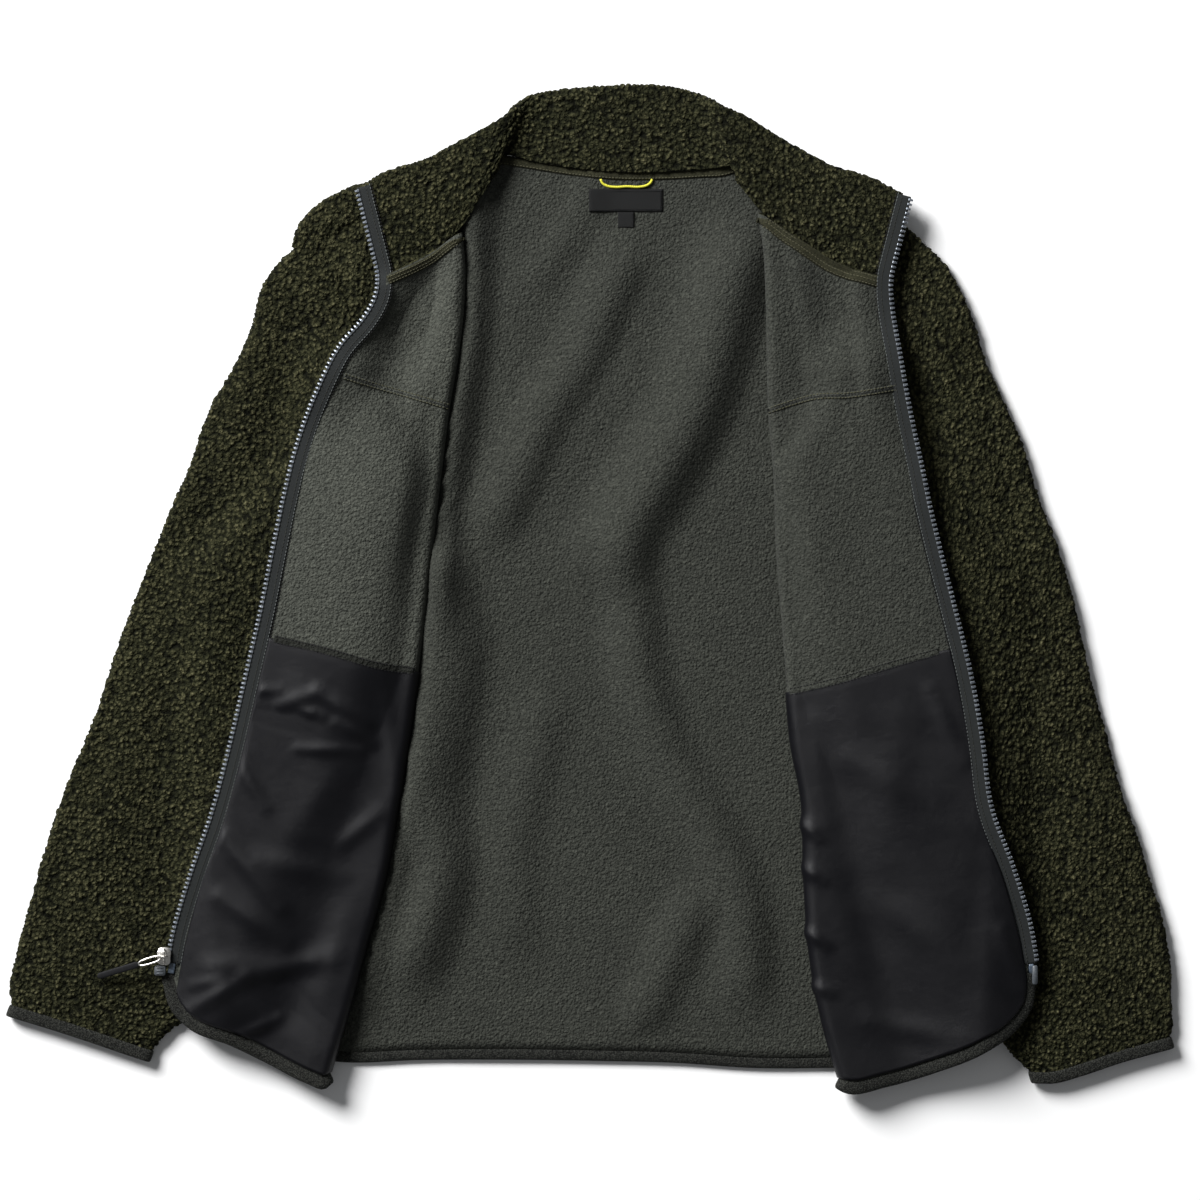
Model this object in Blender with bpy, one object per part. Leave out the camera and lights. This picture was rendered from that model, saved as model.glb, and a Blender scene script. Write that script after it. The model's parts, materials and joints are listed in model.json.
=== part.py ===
"""A pile-fleece jacket, laid on its back with both fronts turned open, as closed solids.

Plan tables are in plan units of 0.78 mm: x to the right, y down the jacket. Heights are in
millimetres above the surface the jacket lies on. Left is -X. Run with
blender --background --python part.py
"""

import math

import bmesh
import bpy
import numpy as np

# ---- driving dimensions -------------------------------------------------------------------
UNIT = 0.78  # mm in a plan unit
MIDDLE = (589.757, 588.834)  # plan point over the row's origin
CLOTH = 4.6  # mm, fleece with its pile
GAP = 0.3  # mm between pieces that touch
COLLAR = 8.4  # mm, two layers of the cloth
SLEEVE_GAP = 0.8  # mm left inside a flattened sleeve
KNIT = 1.0  # mm, pocket bag
TAPE = 0.9  # mm, neck tape and zip film
LABEL = 0.6  # mm
BINDING = 3.4  # mm, bound edge
BINDING_WIDTH = 11.0  # plan units
ROLL = 11.0  # mm between the two layers of a front at its fold

UNDER = 1.5 * CLOTH + 2 * GAP  # middle of the front's lower layer
UNDER_TOP = 2 * CLOTH + 2 * GAP  # its upper face
SLEEVE = 2 * CLOTH + SLEEVE_GAP  # a flattened sleeve's height

# ---- plan tables --------------------------------------------------------------------------
# One table a side: rows down the front.  fold x, y | zip edge x, y
FRONT_LEFT = [
    (463, 230, 380, 276), (466, 262, 378, 292), (465, 306, 364, 320), (461, 346, 342, 348),
    (452, 400, 317, 400), (442, 477, 296, 462), (434, 545, 277, 545), (427, 610, 262, 618),
    (419, 674, 247, 682), (409, 744, 230, 754), (400, 800, 216, 806), (387, 877, 191, 880),
    (367, 953, 171, 946), (351, 1020, 165, 976), (335, 1081, 163, 984),
]
FRONT_RIGHT = [
    (757, 210, 888, 278), (762, 240, 888, 292), (765, 291, 890, 312), (766, 345, 895, 346),
    (767, 400, 904, 400), (773, 477, 919, 472), (775, 545, 936, 545), (780, 610, 953, 612),
    (785, 674, 968, 674), (791, 744, 981, 748), (801, 800, 988, 802), (803, 877, 1013, 872),
    (807, 953, 1034, 944), (817, 1020, 1038, 974), (833, 1087, 1036, 984),
]
# Neck seam of each turned-back front, and the zip's line up the collar's end above it
SEAM_LEFT = [(463, 230), (436, 249), (387, 276)]
SEAM_RIGHT = [(757, 210), (791, 236), (830, 261), (881, 278)]
COLLAR_ZIP_LEFT = [(356, 188), (367, 218), (377, 245), (380, 262)]
COLLAR_ZIP_RIGHT = [(912, 196), (902, 218), (896, 240), (890, 262)]
# The bound hem of each turned-back front, from fold to zip
HEM_LEFT = [(335, 1081), (325, 1089), (306, 1083), (268, 1064), (230, 1045), (190, 1029),
            (170, 1008), (163, 984)]
HEM_RIGHT = [(833, 1087), (845, 1093), (887, 1087), (937, 1072), (983, 1053), (1015, 1031),
             (1032, 1008), (1036, 984)]
# Outer edge of the body under the sleeves: x, y from shoulder tip to hem
SIDE_LEFT = [(291, 246), (314, 262), (336, 290), (350, 335), (355, 390), (348, 428),
             (316, 485), (274, 530), (243, 566), (236, 640), (234, 800), (236, 930), (240, 1050)]
SIDE_RIGHT = [(906, 222), (884, 244), (864, 280), (852, 335), (847, 390), (854, 428),
              (884, 485), (924, 530), (955, 566), (962, 640), (966, 800), (964, 930), (960, 1050)]
# Steep front neck edge under the turned collar, from shoulder to fold top
NECK_LEFT = [(488, 158), (470, 192), (455, 224)]
NECK_RIGHT = [(742, 160), (756, 184), (766, 206)]
BACK_NECK = [(488, 158), (500, 155), (516, 157), (560, 164), (600, 169), (660, 170), (700, 168),
             (726, 166), (742, 160)]
SHOULDER_LEFT = [(291, 246), (306, 226), (333, 210), (372, 202), (425, 188), (488, 158)]
SHOULDER_RIGHT = [(742, 160), (800, 182), (850, 200), (884, 212), (906, 222)]
BACK_HEM = [(240, 1050), (339, 1053), (421, 1050), (600, 1051), (677, 1053), (753, 1058),
            (826, 1058), (960, 1050)]
# Sleeves: head (outer to inner end), outer edge, inner edge, cuff (outer to inner end)
SLEEVE_LEFT = {
    "head": [(286, 250), (310, 265), (332, 292), (346, 336), (351, 388), (368, 428), (396, 468)],
    "outer": [(286, 250), (276, 258), (260, 287), (251, 325), (230, 371), (212, 400),
              (188, 465), (165, 519), (142, 576), (115, 649), (92, 718), (69, 775), (57, 806),
              (29, 900), (15, 953), (8, 991), (10, 1006)],
    "inner": [(396, 468), (386, 520), (364, 600), (330, 700), (298, 780), (262, 870),
              (222, 955), (186, 1020), (170, 1032), (160, 1042), (152, 1052)],
    "cuff": [(10, 1006), (50, 1018), (96, 1033), (128, 1044), (152, 1052)],
}
SLEEVE_RIGHT = {
    "head": [(911, 224), (888, 247), (868, 282), (856, 336), (851, 388), (834, 428), (808, 468)],
    "outer": [(911, 224), (933, 245), (950, 268), (964, 295), (977, 325), (987, 360),
              (1005, 400), (1025, 446), (1040, 496), (1059, 545), (1075, 599), (1090, 668),
              (1109, 737), (1126, 800), (1140, 838), (1151, 877), (1163, 915), (1172, 965),
              (1174, 1014), (1175, 1026), (1171, 1038)],
    "inner": [(808, 468), (816, 520), (836, 600), (864, 700), (896, 780), (934, 870),
              (968, 955), (996, 1024), (1003, 1042), (1014, 1058), (1030, 1073)],
    "cuff": [(1171, 1038), (1117, 1053), (1078, 1066), (1052, 1073), (1030, 1073)],
}
# Collar, one row a station from the left zip to the right one:
# neck edge x, y, height | top edge x, y, height (heights are of the middle of the cloth)
COLLAR_ROWS = [
    (387, 273, 15.0, 365, 185, 13.6), (406, 263, 15.0, 383, 172, 13.6),
    (424, 252, 15.0, 423, 160, 13.6), (442, 241, 15.0, 459, 141, 14.2),
    (455, 231, 15.2, 497, 120, 15.6), (464, 222, 15.4, 508, 112, 14.8),
    (474, 206, 15.2, 514, 107, 12.4), (484, 188, 14.8, 518, 103, 9.6),
    (493, 170, 13.6, 522, 100, 7.2), (500, 154, 10.4, 527, 97, 5.6),
    (511, 152, 6.4, 534, 95, 4.8), (530, 157, 4.6, 545, 92, 4.6), (565, 163, 4.5, 575, 88, 4.6),
    (605, 167, 4.5, 610, 86, 4.6), (650, 168, 4.5, 650, 84, 4.6), (690, 166, 4.5, 676, 87, 4.6),
    (714, 164, 4.8, 688, 90, 4.6), (727, 162, 7.0, 696, 93, 5.2), (735, 161, 10.8, 702, 95, 6.6),
    (739, 173, 13.8, 706, 97, 9.0), (745, 187, 14.8, 711, 99, 12.0),
    (753, 200, 15.2, 716, 102, 14.4), (762, 209, 15.4, 726, 107, 15.4),
    (777, 222, 15.2, 748, 117, 14.4), (801, 240, 15.0, 786, 141, 13.6),
    (831, 258, 15.0, 828, 164, 13.6), (853, 267, 15.0, 866, 176, 13.6),
    (882, 275, 15.0, 903, 194, 13.6),
]
# Broad soft ridges (+) and troughs (-) in the inside faces:
# x, y of one end | x, y of the other | half-width in plan units | height in mm
FOLDS_BACK = [
    (610, 384, 482, 540, 26, 2.6), (700, 290, 632, 452, 30, 2.2), (664, 470, 700, 640, 24, 1.8),
    (470, 700, 412, 905, 26, 2.0), (560, 760, 640, 930, 34, 1.4), (540, 250, 500, 330, 24, 1.6),
]
FOLDS_LEFT = [(430, 268, 372, 352, 15, -3.2), (452, 292, 398, 372, 14, 1.8),
              (296, 690, 352, 768, 16, 1.8), (215, 985, 312, 1052, 13, 1.6)]
FOLDS_RIGHT = [(836, 292, 800, 392, 20, -1.8), (872, 420, 812, 560, 22, 1.4),
               (822, 830, 868, 1010, 16, 1.4), (985, 850, 960, 1010, 18, -1.2)]


# ---- plan geometry ------------------------------------------------------------------------
def curve(points, t):
    """Smooth line through the points, sampled at t from 0 to 1 along its length."""
    p = np.array(points, float)
    s = np.r_[0, np.cumsum(np.linalg.norm(np.diff(p, axis=0), axis=1))]
    s /= s[-1]
    slope = np.gradient(p, s, axis=0)
    t = np.clip(np.asarray(t, float), 0, 1)
    i = np.clip(np.searchsorted(s, t, "right") - 1, 0, len(s) - 2)
    h = (s[i + 1] - s[i])[:, None]
    u = ((t - s[i]) / (s[i + 1] - s[i]))[:, None]
    return (
        (2 * u**3 - 3 * u**2 + 1) * p[i] + (u**3 - 2 * u**2 + u) * h * slope[i]
        + (3 * u**2 - 2 * u**3) * p[i + 1] + (u**3 - u**2) * h * slope[i + 1]
    )


def spread(n):
    return np.linspace(0, 1, n)


def offset(line, distance):
    """The line moved to its left (as drawn, y down) by a distance in plan units."""
    d = np.gradient(line, axis=0)
    d /= np.linalg.norm(d, axis=1)[:, None]
    return line + distance * np.stack([d[:, 1], -d[:, 0]], axis=1)


def coons(top, bottom, left, right, rows=None):
    """Rows of plan points filling four sampled edges that share their corners."""
    rows = spread(len(left)) if rows is None else rows
    u, v = spread(len(top))[None, :, None], rows[:, None, None]
    corners = (
        (1 - u) * (1 - v) * top[0] + u * (1 - v) * top[-1]
        + (1 - u) * v * bottom[0] + u * v * bottom[-1]
    )
    return ((1 - v) * top[None] + v * bottom[None] + (1 - u) * left[:, None]
            + u * right[:, None] - corners)


def step(x):
    x = np.clip(x, 0, 1)
    return x * x * (3 - 2 * x)


def ridges(x, y, table):
    """Height in mm of the table's soft ridges and troughs at plan points."""
    z = np.zeros_like(x)
    for ax, ay, bx, by, width, height in table:
        ux, uy = bx - ax, by - ay
        t = np.clip(((x - ax) * ux + (y - ay) * uy) / (ux * ux + uy * uy), 0, 1)
        far = np.hypot(x - ax - t * ux, y - ay - t * uy)
        z += height * np.exp(-((far / width) ** 2)) * (0.75 + 0.25 * np.cos(5 * t - 2))
    return z


# ---- heights of what lies on what ---------------------------------------------------------
class Side:
    """One side of the jacket: its tables, and the heights of the layers there."""

    def __init__(self, name, out, front, seam, collar_zip, hem, side, neck, shoulder, sleeve,
                 folds):
        self.name, self.out, self.seam, self.hem = name, out, seam, hem
        self.side, self.neck, self.shoulder = side, neck, shoulder
        self.sleeve, self.folds = sleeve, folds
        self.fold = [(r[0], r[1]) for r in front]
        self.zip = [(r[2], r[3]) for r in front]
        self.teeth = collar_zip + self.zip

    def beyond(self, line, x, y):
        """How far x lies beyond a line running down the jacket, away from the middle."""
        p = curve(line, spread(60))
        order = np.argsort(p[:, 1])
        return self.out * (x - np.interp(y, p[order, 1], p[order, 0]))

    def lift(self, x, y):
        """How far the body under the sleeve raises it."""
        raised = step(1 - (self.beyond(self.side, x, y) - 18) / 60) * step((y - 312) / 66)
        return (UNDER_TOP + GAP) * raised

    def rest(self, x, y):
        """Top of what a turned-back front lies on."""
        line = self.sleeve["head"] + self.sleeve["inner"][1:-2]
        over_sleeve = step(1 + (self.beyond(line, x, y) + 6) / 56)
        return UNDER_TOP + (self.lift(x, y) + SLEEVE + 1.6 - UNDER_TOP) * over_sleeve

    def over(self, x, y, from_fold):
        """Middle of a turned-back front, from_fold plan units from where its roll ends."""
        low = self.rest(x, y) + 0.6 + CLOTH / 2
        high = UNDER + ROLL
        near = 1 - step(from_fold / 70)
        z = low + (high - low) * near * (high > low) + 1.4 * step(from_fold / 60)
        return np.maximum(z + ridges(x, y, self.folds), low)


LEFT = Side("left", -1, FRONT_LEFT, SEAM_LEFT, COLLAR_ZIP_LEFT, HEM_LEFT, SIDE_LEFT, NECK_LEFT,
            SHOULDER_LEFT[::-1], SLEEVE_LEFT, FOLDS_LEFT)
RIGHT = Side("right", 1, FRONT_RIGHT, SEAM_RIGHT, COLLAR_ZIP_RIGHT, HEM_RIGHT, SIDE_RIGHT,
             NECK_RIGHT, SHOULDER_RIGHT, SLEEVE_RIGHT, FOLDS_RIGHT)


# ---- solids -------------------------------------------------------------------------------
COLOURS = {  # colour, roughness, metallic
    "pile": ((0.030, 0.032, 0.016), 0.95, 0.0),
    "knit": ((0.012, 0.012, 0.014), 0.45, 0.0),
    "binding": ((0.030, 0.032, 0.030), 0.85, 0.0),
    "zip_tape": ((0.034, 0.038, 0.038), 0.8, 0.0),
    "neck_tape": ((0.055, 0.052, 0.036), 0.85, 0.0),
    "film": ((0.085, 0.105, 0.125), 0.4, 0.0),
    "plastic": ((0.060, 0.064, 0.068), 0.4, 0.0),
    "metal": ((0.62, 0.60, 0.55), 0.3, 1.0),
    "strap": ((0.010, 0.010, 0.011), 0.5, 0.0),
    "label": ((0.016, 0.017, 0.017), 0.7, 0.0),
    "loop": ((0.72, 0.70, 0.06), 0.6, 0.0),
}


def material(name):
    if name in bpy.data.materials:
        return bpy.data.materials[name]
    colour, rough, metal = COLOURS[name]
    m = bpy.data.materials.new(name)
    m.use_nodes = True
    shader = m.node_tree.nodes["Principled BSDF"]
    shader.inputs["Base Color"].default_value = (*colour, 1)
    shader.inputs["Roughness"].default_value = rough
    shader.inputs["Metallic"].default_value = metal
    return m


def placed(plan, z):
    """Plan points and heights in mm as row points in mm."""
    plan = np.asarray(plan, float)
    out = np.empty(plan.shape[:-1] + (3,))
    out[..., 0] = (plan[..., 0] - MIDDLE[0]) * UNIT
    out[..., 1] = (MIDDLE[1] - plan[..., 1]) * UNIT
    out[..., 2] = z
    return out


def add(name, points, faces, kind):
    """A closed mesh from points in mm, with its faces turned outwards."""
    mesh = bpy.data.meshes.new(name)
    mesh.from_pydata([tuple(p) for p in np.asarray(points) / 1000], [], faces)
    bm = bmesh.new()
    bm.from_mesh(mesh)
    if bm.calc_volume(signed=True) < 0:
        bmesh.ops.reverse_faces(bm, faces=bm.faces)
    bm.to_mesh(mesh)
    bm.free()
    o = bpy.data.objects.new(name, mesh)
    bpy.context.scene.collection.objects.link(o)
    mesh.materials.append(material(kind))
    return o


def grid_faces(index):
    """Quads of a grid of point numbers, leaving out those with a missing (-1) corner."""
    quads = []
    for i in range(index.shape[0] - 1):
        for j in range(index.shape[1] - 1):
            q = [index[i, j], index[i, j + 1], index[i + 1, j + 1], index[i + 1, j]]
            if min(q) >= 0:
                quads.append([int(k) for k in q])
    return quads


def normals(points, quads):
    n = np.zeros_like(points)
    for q in quads:
        a = np.cross(points[q[2]] - points[q[0]], points[q[3]] - points[q[1]])
        n[q] += a
    return n / np.linalg.norm(n, axis=1)[:, None]


def closed(name, middle, quads, cloth, kind, shift=0.0):
    """A closed sheet whose quads already face the way shift moves them."""
    n = normals(middle, quads)
    count = len(middle)
    points = np.r_[middle + n * (shift + cloth / 2), middle + n * (shift - cloth / 2)]
    edges = {(a, b) for q in quads for a, b in zip(q, q[1:] + q[:1])}
    walls = [[b, a, a + count, b + count] for a, b in sorted(edges) if (b, a) not in edges]
    # every sheet is split along the same diagonals, so that one laid on another follows it
    halves = []
    for q in quads:
        low = q.index(min(q))
        a, b, c, d = q[low:] + q[:low]
        halves += [[a, b, c], [a, c, d]]
    return add(name, points, halves + [[k + count for k in h[::-1]] for h in halves] + walls, kind)


def sheet(name, rows, cloth, kind, shift=0.0):
    """A sheet from a full grid of middle points, moved up (mostly) by shift mm."""
    rows = np.asarray(rows)
    index = np.arange(rows.shape[0] * rows.shape[1]).reshape(rows.shape[:2])
    quads, middle = grid_faces(index), rows.reshape(-1, 3)
    if normals(middle, quads)[:, 2].sum() < 0:
        quads = [q[::-1] for q in quads]
    return closed(name, middle, quads, cloth, kind, shift)


# ---- fronts -------------------------------------------------------------------------------
ROLL_IN = (ROLL / 2 + CLOTH / 2 + 1.0) / UNIT  # fold's edge to the end of its roll, plan units
EDGE_IN = 7.0  # plan units from the line of teeth to the edge of the cloth
TAPE_OVER = 6.5  # of the zip tape on the cloth, plan units
NECK_TAPE_WIDTH = 13.0  # plan units
ROLL_ANGLES = (-55, -20, 20, 55)
UNDER_COLUMNS, OVER_COLUMNS = 7, 9
NECK_ROWS, FOLD_ROWS = 3, 20


def arc(line):
    return np.r_[0, np.cumsum(np.linalg.norm(np.diff(line, axis=0), axis=1))]


def at(line, distance):
    s = arc(line)
    return np.stack([np.interp(distance, s, line[:, k]) for k in (0, 1)], axis=-1)


def turned_row(side, line):
    """Roll and upper layer of one row of a front; line runs from its fold to its zip edge."""
    start, end = at(line, ROLL_IN), arc(line)[-1]
    to_fold = (line[0] - start) / np.linalg.norm(line[0] - start)
    row = [
        placed(start + to_fold * (ROLL / 2 / UNIT) * math.cos(math.radians(a)),
               UNDER + ROLL / 2 + ROLL / 2 * math.sin(math.radians(a)))
        for a in ROLL_ANGLES
    ]
    for distance in [*np.linspace(ROLL_IN, end - TAPE_OVER, OVER_COLUMNS - 1), end]:
        p = at(line, distance)
        z = side.over(p[None, 0], p[None, 1], distance - ROLL_IN)
        row.append(placed(p, z[0]))
    return np.array(row), start


def hem_line(side, inset, n=40):
    return offset(curve(side.hem, spread(n)), side.out * inset)


def turned_lines(side, n=40):
    """Plan lines of a front's rows from the fold to the cloth's zip edge."""
    rows = np.r_[0, np.linspace(NECK_TAPE_WIDTH / 860, 1, FOLD_ROWS - 1)]
    bottom = hem_line(side, BINDING_WIDTH + 0.6, n)
    edge = offset(curve(side.zip, rows), -side.out * EDGE_IN)
    fold = curve(side.fold, rows)
    top = curve(side.seam, spread(n))
    down = rows[:, None]
    edge = edge + down**6 * (bottom[-1] - edge[-1]) + (1 - down) ** 9 * (top[-1] - edge[0])
    fold = fold + down**6 * (bottom[0] - fold[-1])
    return coons(top, bottom, fold, edge, rows)


def front(side):
    """Middle points of a front, its quads, and the grid of point numbers they follow."""
    turned = [turned_row(side, line) for line in turned_lines(side)]
    inner = np.r_[curve(side.neck, spread(NECK_ROWS + 1))[:-1], [start for _, start in turned]]
    outer = curve(side.side, spread(len(inner)))
    top = curve(side.shoulder, spread(UNDER_COLUMNS))
    bottom = curve([inner[-1], outer[-1]], spread(UNDER_COLUMNS))
    top[0], top[-1] = inner[0], outer[0]
    lower = coons(top, bottom, inner, outer)[:, ::-1]
    index = np.full((len(inner), UNDER_COLUMNS + len(ROLL_ANGLES) + OVER_COLUMNS), -1)
    points = []
    for i in range(len(inner)):
        row = list(placed(lower[i], UNDER))
        if i >= NECK_ROWS:
            row += list(turned[i - NECK_ROWS][0])
        for j, p in enumerate(row):
            index[i, j] = len(points)
            points.append(p)
    points = np.array(points)
    quads = grid_faces(index)
    # the inside of the cloth faces down on the lower layer and up on the turned one
    if normals(points, quads)[index[-1, 0], 2] > 0:
        quads = [q[::-1] for q in quads]
    return points, quads, index


def front_solid(side):
    points, quads, _ = front(side)
    return closed("front_" + side.name, points, quads, CLOTH, "pile")


def on_front(side, first_row, columns, above):
    """Rows of a front's own points moved out from its inside face by a height in mm."""
    points, quads, index = front(side)
    rows = index[NECK_ROWS + first_row:, UNDER_COLUMNS:][:, columns]
    lifted = points + normals(points, quads) * (CLOTH / 2 + above)
    return points[rows], lifted[rows]


def hem_binding_front(side):
    """The bound edge of a front: along its turned hem, round the fold and back below."""
    points, _, index = front(side)
    cloth = points[index[-1]]
    row, start = turned_row(side, hem_line(side, 0.0))
    end = curve(side.side, [1.0])[0] + (0, BINDING_WIDTH)
    edge = np.r_[placed(curve([end, start], spread(UNDER_COLUMNS)), UNDER), row]
    rows = [cloth + t * (edge - cloth) for t in (0.2, 0.6, 1.0)]
    return sheet("hem_binding_" + side.name, rows, BINDING, "binding")


def pocket_bag(side, top_line):
    """Knit bag on the inside of a front, from its seam line down to the binding."""
    plain, lifted = on_front(side, 0, slice(0, -1), 0.6 + KNIT / 2)
    seam = curve(top_line, spread(60))
    seam = seam[np.argsort(seam[:, 0])]
    x = plain[..., 0] / UNIT + MIDDLE[0]
    y = MIDDLE[1] - plain[..., 1] / UNIT
    below = y - np.interp(x, seam[:, 0], seam[:, 1])
    columns = range(below.shape[1])
    first = np.array([int(np.argmax(below[:, j] > 0)) for j in columns])
    cross = np.array([i - below[i, j] / (below[i, j] - below[i - 1, j])
                      for i, j in zip(first, columns)])

    def row_at(where):
        return [[np.interp(where[j], range(len(lifted)), lifted[:, j, k]) for k in range(3)]
                for j in columns]

    full = first.max() + 1
    rows = [row_at(cross)]
    for i in range(first.min(), full):
        rows.append(row_at(np.maximum(i, cross + 0.3 * (i - first.min() + 1))))
    return sheet("pocket_bag_" + side.name, np.r_[rows, lifted[full:]], KNIT, "knit")


# ---- back, sleeves, collar ----------------------------------------------------------------
def back(rows=15, columns=15):
    top = SHOULDER_LEFT + BACK_NECK[1:-1] + SHOULDER_RIGHT
    plan = coons(curve(top, spread(columns * 2 - 1)), curve(BACK_HEM, spread(columns * 2 - 1)),
                 curve(SIDE_LEFT, spread(rows)), curve(SIDE_RIGHT, spread(rows)))
    z = CLOTH / 2 + np.maximum(ridges(plan[..., 0], plan[..., 1], FOLDS_BACK), 0)
    return sheet("back", placed(plan, z), CLOTH, "pile")


def hem_binding_back():
    line = curve(BACK_HEM, spread(12))
    inside = (line[:, 0] > 250) & (line[:, 0] < 950)
    line = line[inside]
    rows = [placed(line + (0, down), BINDING / 2 + 0.3) for down in (1.1, BINDING_WIDTH)]
    return sheet("hem_binding_back", rows, BINDING, "binding")


def tube(name, rings, kind):
    """A closed tube wall from rings of (outer points, inner points), open at both ends."""
    outer = np.array([r[0] for r in rings])
    inner = np.array([r[1] for r in rings])
    n, a, b = len(rings), outer.shape[1], inner.shape[1]
    points = np.r_[outer.reshape(-1, 3), inner.reshape(-1, 3)]
    first = n * a
    faces = []
    for i in range(n - 1):
        for j in range(a):
            k = (j + 1) % a
            faces.append([i * a + j, i * a + k, (i + 1) * a + k, (i + 1) * a + j])
        for j in range(b):
            k = (j + 1) % b
            faces.append([first + i * b + k, first + i * b + j,
                          first + (i + 1) * b + j, first + (i + 1) * b + k])
    for i, turn in ((0, False), (n - 1, True)):
        for j in range(a):
            k = (j + 1) % a
            q = [i * a + k, i * a + j, first + i * b + j, first + i * b + k]
            faces.append(q[::-1] if turn else q)
    o = add(name, points, faces, kind)
    return o


def flat_ring(line, rise, puff, height, wall, columns):
    """Outer and inner outline of a flattened tube across a plan line; rise gives its foot."""
    length = arc(line)[-1] * UNIT
    r = height / 2
    crown = r + (length - 2 * r) * np.linspace(0, 1, columns)
    ends = [math.radians(a) for a in (60, 30)]

    def outline(inset):
        q = r - inset
        far, z = [], []
        for d in crown:  # top, outer end to inner end
            far.append(d)
            z.append(r + q + puff * abs(math.sin(math.pi * (d - r) / (length - 2 * r))) ** 0.7)
        for t in ends + [0] + [-e for e in ends[::-1]]:
            far.append(length - r + q * math.cos(t))
            z.append(r + q * math.sin(t))
        for d in crown[::-1]:
            far.append(d)
            z.append(r - q)
        for t in [-e for e in ends] + [0] + ends[::-1]:
            far.append(r - q * math.cos(t))
            z.append(r + q * math.sin(t))
        plan = at(line, np.array(far) / UNIT)
        return placed(plan, np.array(z) + rise(plan[:, 0], plan[:, 1]))

    return outline(0.0), outline(wall)


def sleeve_lines(side, rows, n=30):
    s = side.sleeve
    return coons(curve(s["head"], spread(n)), curve(s["cuff"], spread(n)),
                 curve(s["outer"], spread(rows)), curve(s["inner"], spread(rows)))


def sleeve(side, rows=18, columns=9):
    rings = [flat_ring(line, side.lift, 0.8, SLEEVE, CLOTH, columns)
             for line in sleeve_lines(side, rows)]
    return tube("sleeve_" + side.name, rings, "pile")


def cuff_binding(side, columns=9):
    """Stretch binding round the sleeve's end."""
    lines = sleeve_lines(side, 30)
    down = (lines[-1] - lines[-3]).mean(axis=0)
    down /= np.linalg.norm(down)
    rings = [flat_ring(lines[-1] + down * distance, lambda x, y: side.lift(x, y) + 0.9, 0.4,
                       SLEEVE - 1.8, 3.2, columns)
             for distance in (0.9, BINDING_WIDTH + 0.6)]
    return tube("cuff_binding_" + side.name, rings, "binding")


def collar_point(u, v):
    """Middle of the collar: u along it from the left zip, v from neck edge to top edge."""
    rows = np.array(COLLAR_ROWS, float)
    s = np.arange(len(rows)) / (len(rows) - 1)
    neck = [np.interp(u, s, rows[:, k]) for k in range(3)]
    top = [np.interp(u, s, rows[:, k]) for k in range(3, 6)]
    x, y = neck[0] + (top[0] - neck[0]) * v, neck[1] + (top[1] - neck[1]) * v
    z = neck[2] + (top[2] - neck[2]) * v**3
    return placed(np.stack([x, y], axis=-1), z)


def collar(rows=6):
    u = spread(len(COLLAR_ROWS))
    inset = COLLAR / 2 / UNIT / 92  # the cloth's own rounding is left for its edge
    grid = [collar_point(u, np.full_like(u, v)) for v in np.linspace(0, 1 - inset * 0.3, rows)]
    return sheet("collar", grid, COLLAR, "pile")


# ---- tapes, zips, label -------------------------------------------------------------------
def neck_tape(side):
    """Tape over a front's neck seam, on the inside face."""
    _, lifted = on_front(side, 0, slice(1, -1), 0.4 + TAPE / 2)
    top, low = lifted[:2]
    return sheet("neck_tape_" + side.name, [top + 0.08 * (low - top), low], TAPE, "neck_tape")


def neck_tape_back():
    line = curve(BACK_NECK, np.linspace(0.10, 0.90, 14))
    rows = [placed(line + (0, down), CLOTH + GAP + TAPE / 2) for down in (1.2, 12.5)]
    return sheet("neck_tape_back", rows, TAPE, "neck_tape")


TAPE_OUT = 3.0  # zip tape beyond its line of teeth, plan units
TAPE_END = 964.0  # where the tape gives way to its stiffened end


def zip_rows(side):
    """The zip tape's rows from the collar's top down: inner edge, edge of cloth, outer edge."""
    front_rows = on_front(side, 0, slice(-2, None), 0.4 + TAPE / 2)[1]
    end, inside = (0.0, 0.012) if side is LEFT else (1.0, 0.988)
    v = np.array([0.98, 0.75, 0.5, 0.25, 0.0])
    up = np.array([0, 0, COLLAR / 2 + 0.4 + TAPE / 2])
    collar_rows = np.stack([collar_point(np.full_like(v, u), v) + up for u in (inside, end)],
                           axis=1)
    rows = np.r_[collar_rows, front_rows[1:]]
    way = np.gradient(rows[:, 1], axis=0)
    out = np.stack([-way[:, 1], way[:, 0], np.zeros(len(way))], axis=1)
    out *= (side.out * np.sign(out[:, 0]) / np.linalg.norm(out, axis=1))[:, None]
    inner = rows[:, 1] + 0.8 * (rows[:, 0] - rows[:, 1])
    return np.stack([inner, rows[:, 1], rows[:, 1] + out * (EDGE_IN + TAPE_OUT) * UNIT], axis=1)


def zip_point(side, y):
    """Where the line of teeth passes a plan y, in mm, at the height of the tape."""
    rows = zip_rows(side)
    teeth = rows[:, 1] + (rows[:, 2] - rows[:, 1]) * EDGE_IN / (EDGE_IN + TAPE_OUT)
    want = (MIDDLE[1] - y) * UNIT
    order = np.argsort(teeth[:, 1])
    return np.array([np.interp(want, teeth[order, 1], teeth[order, k]) for k in range(3)])


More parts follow.
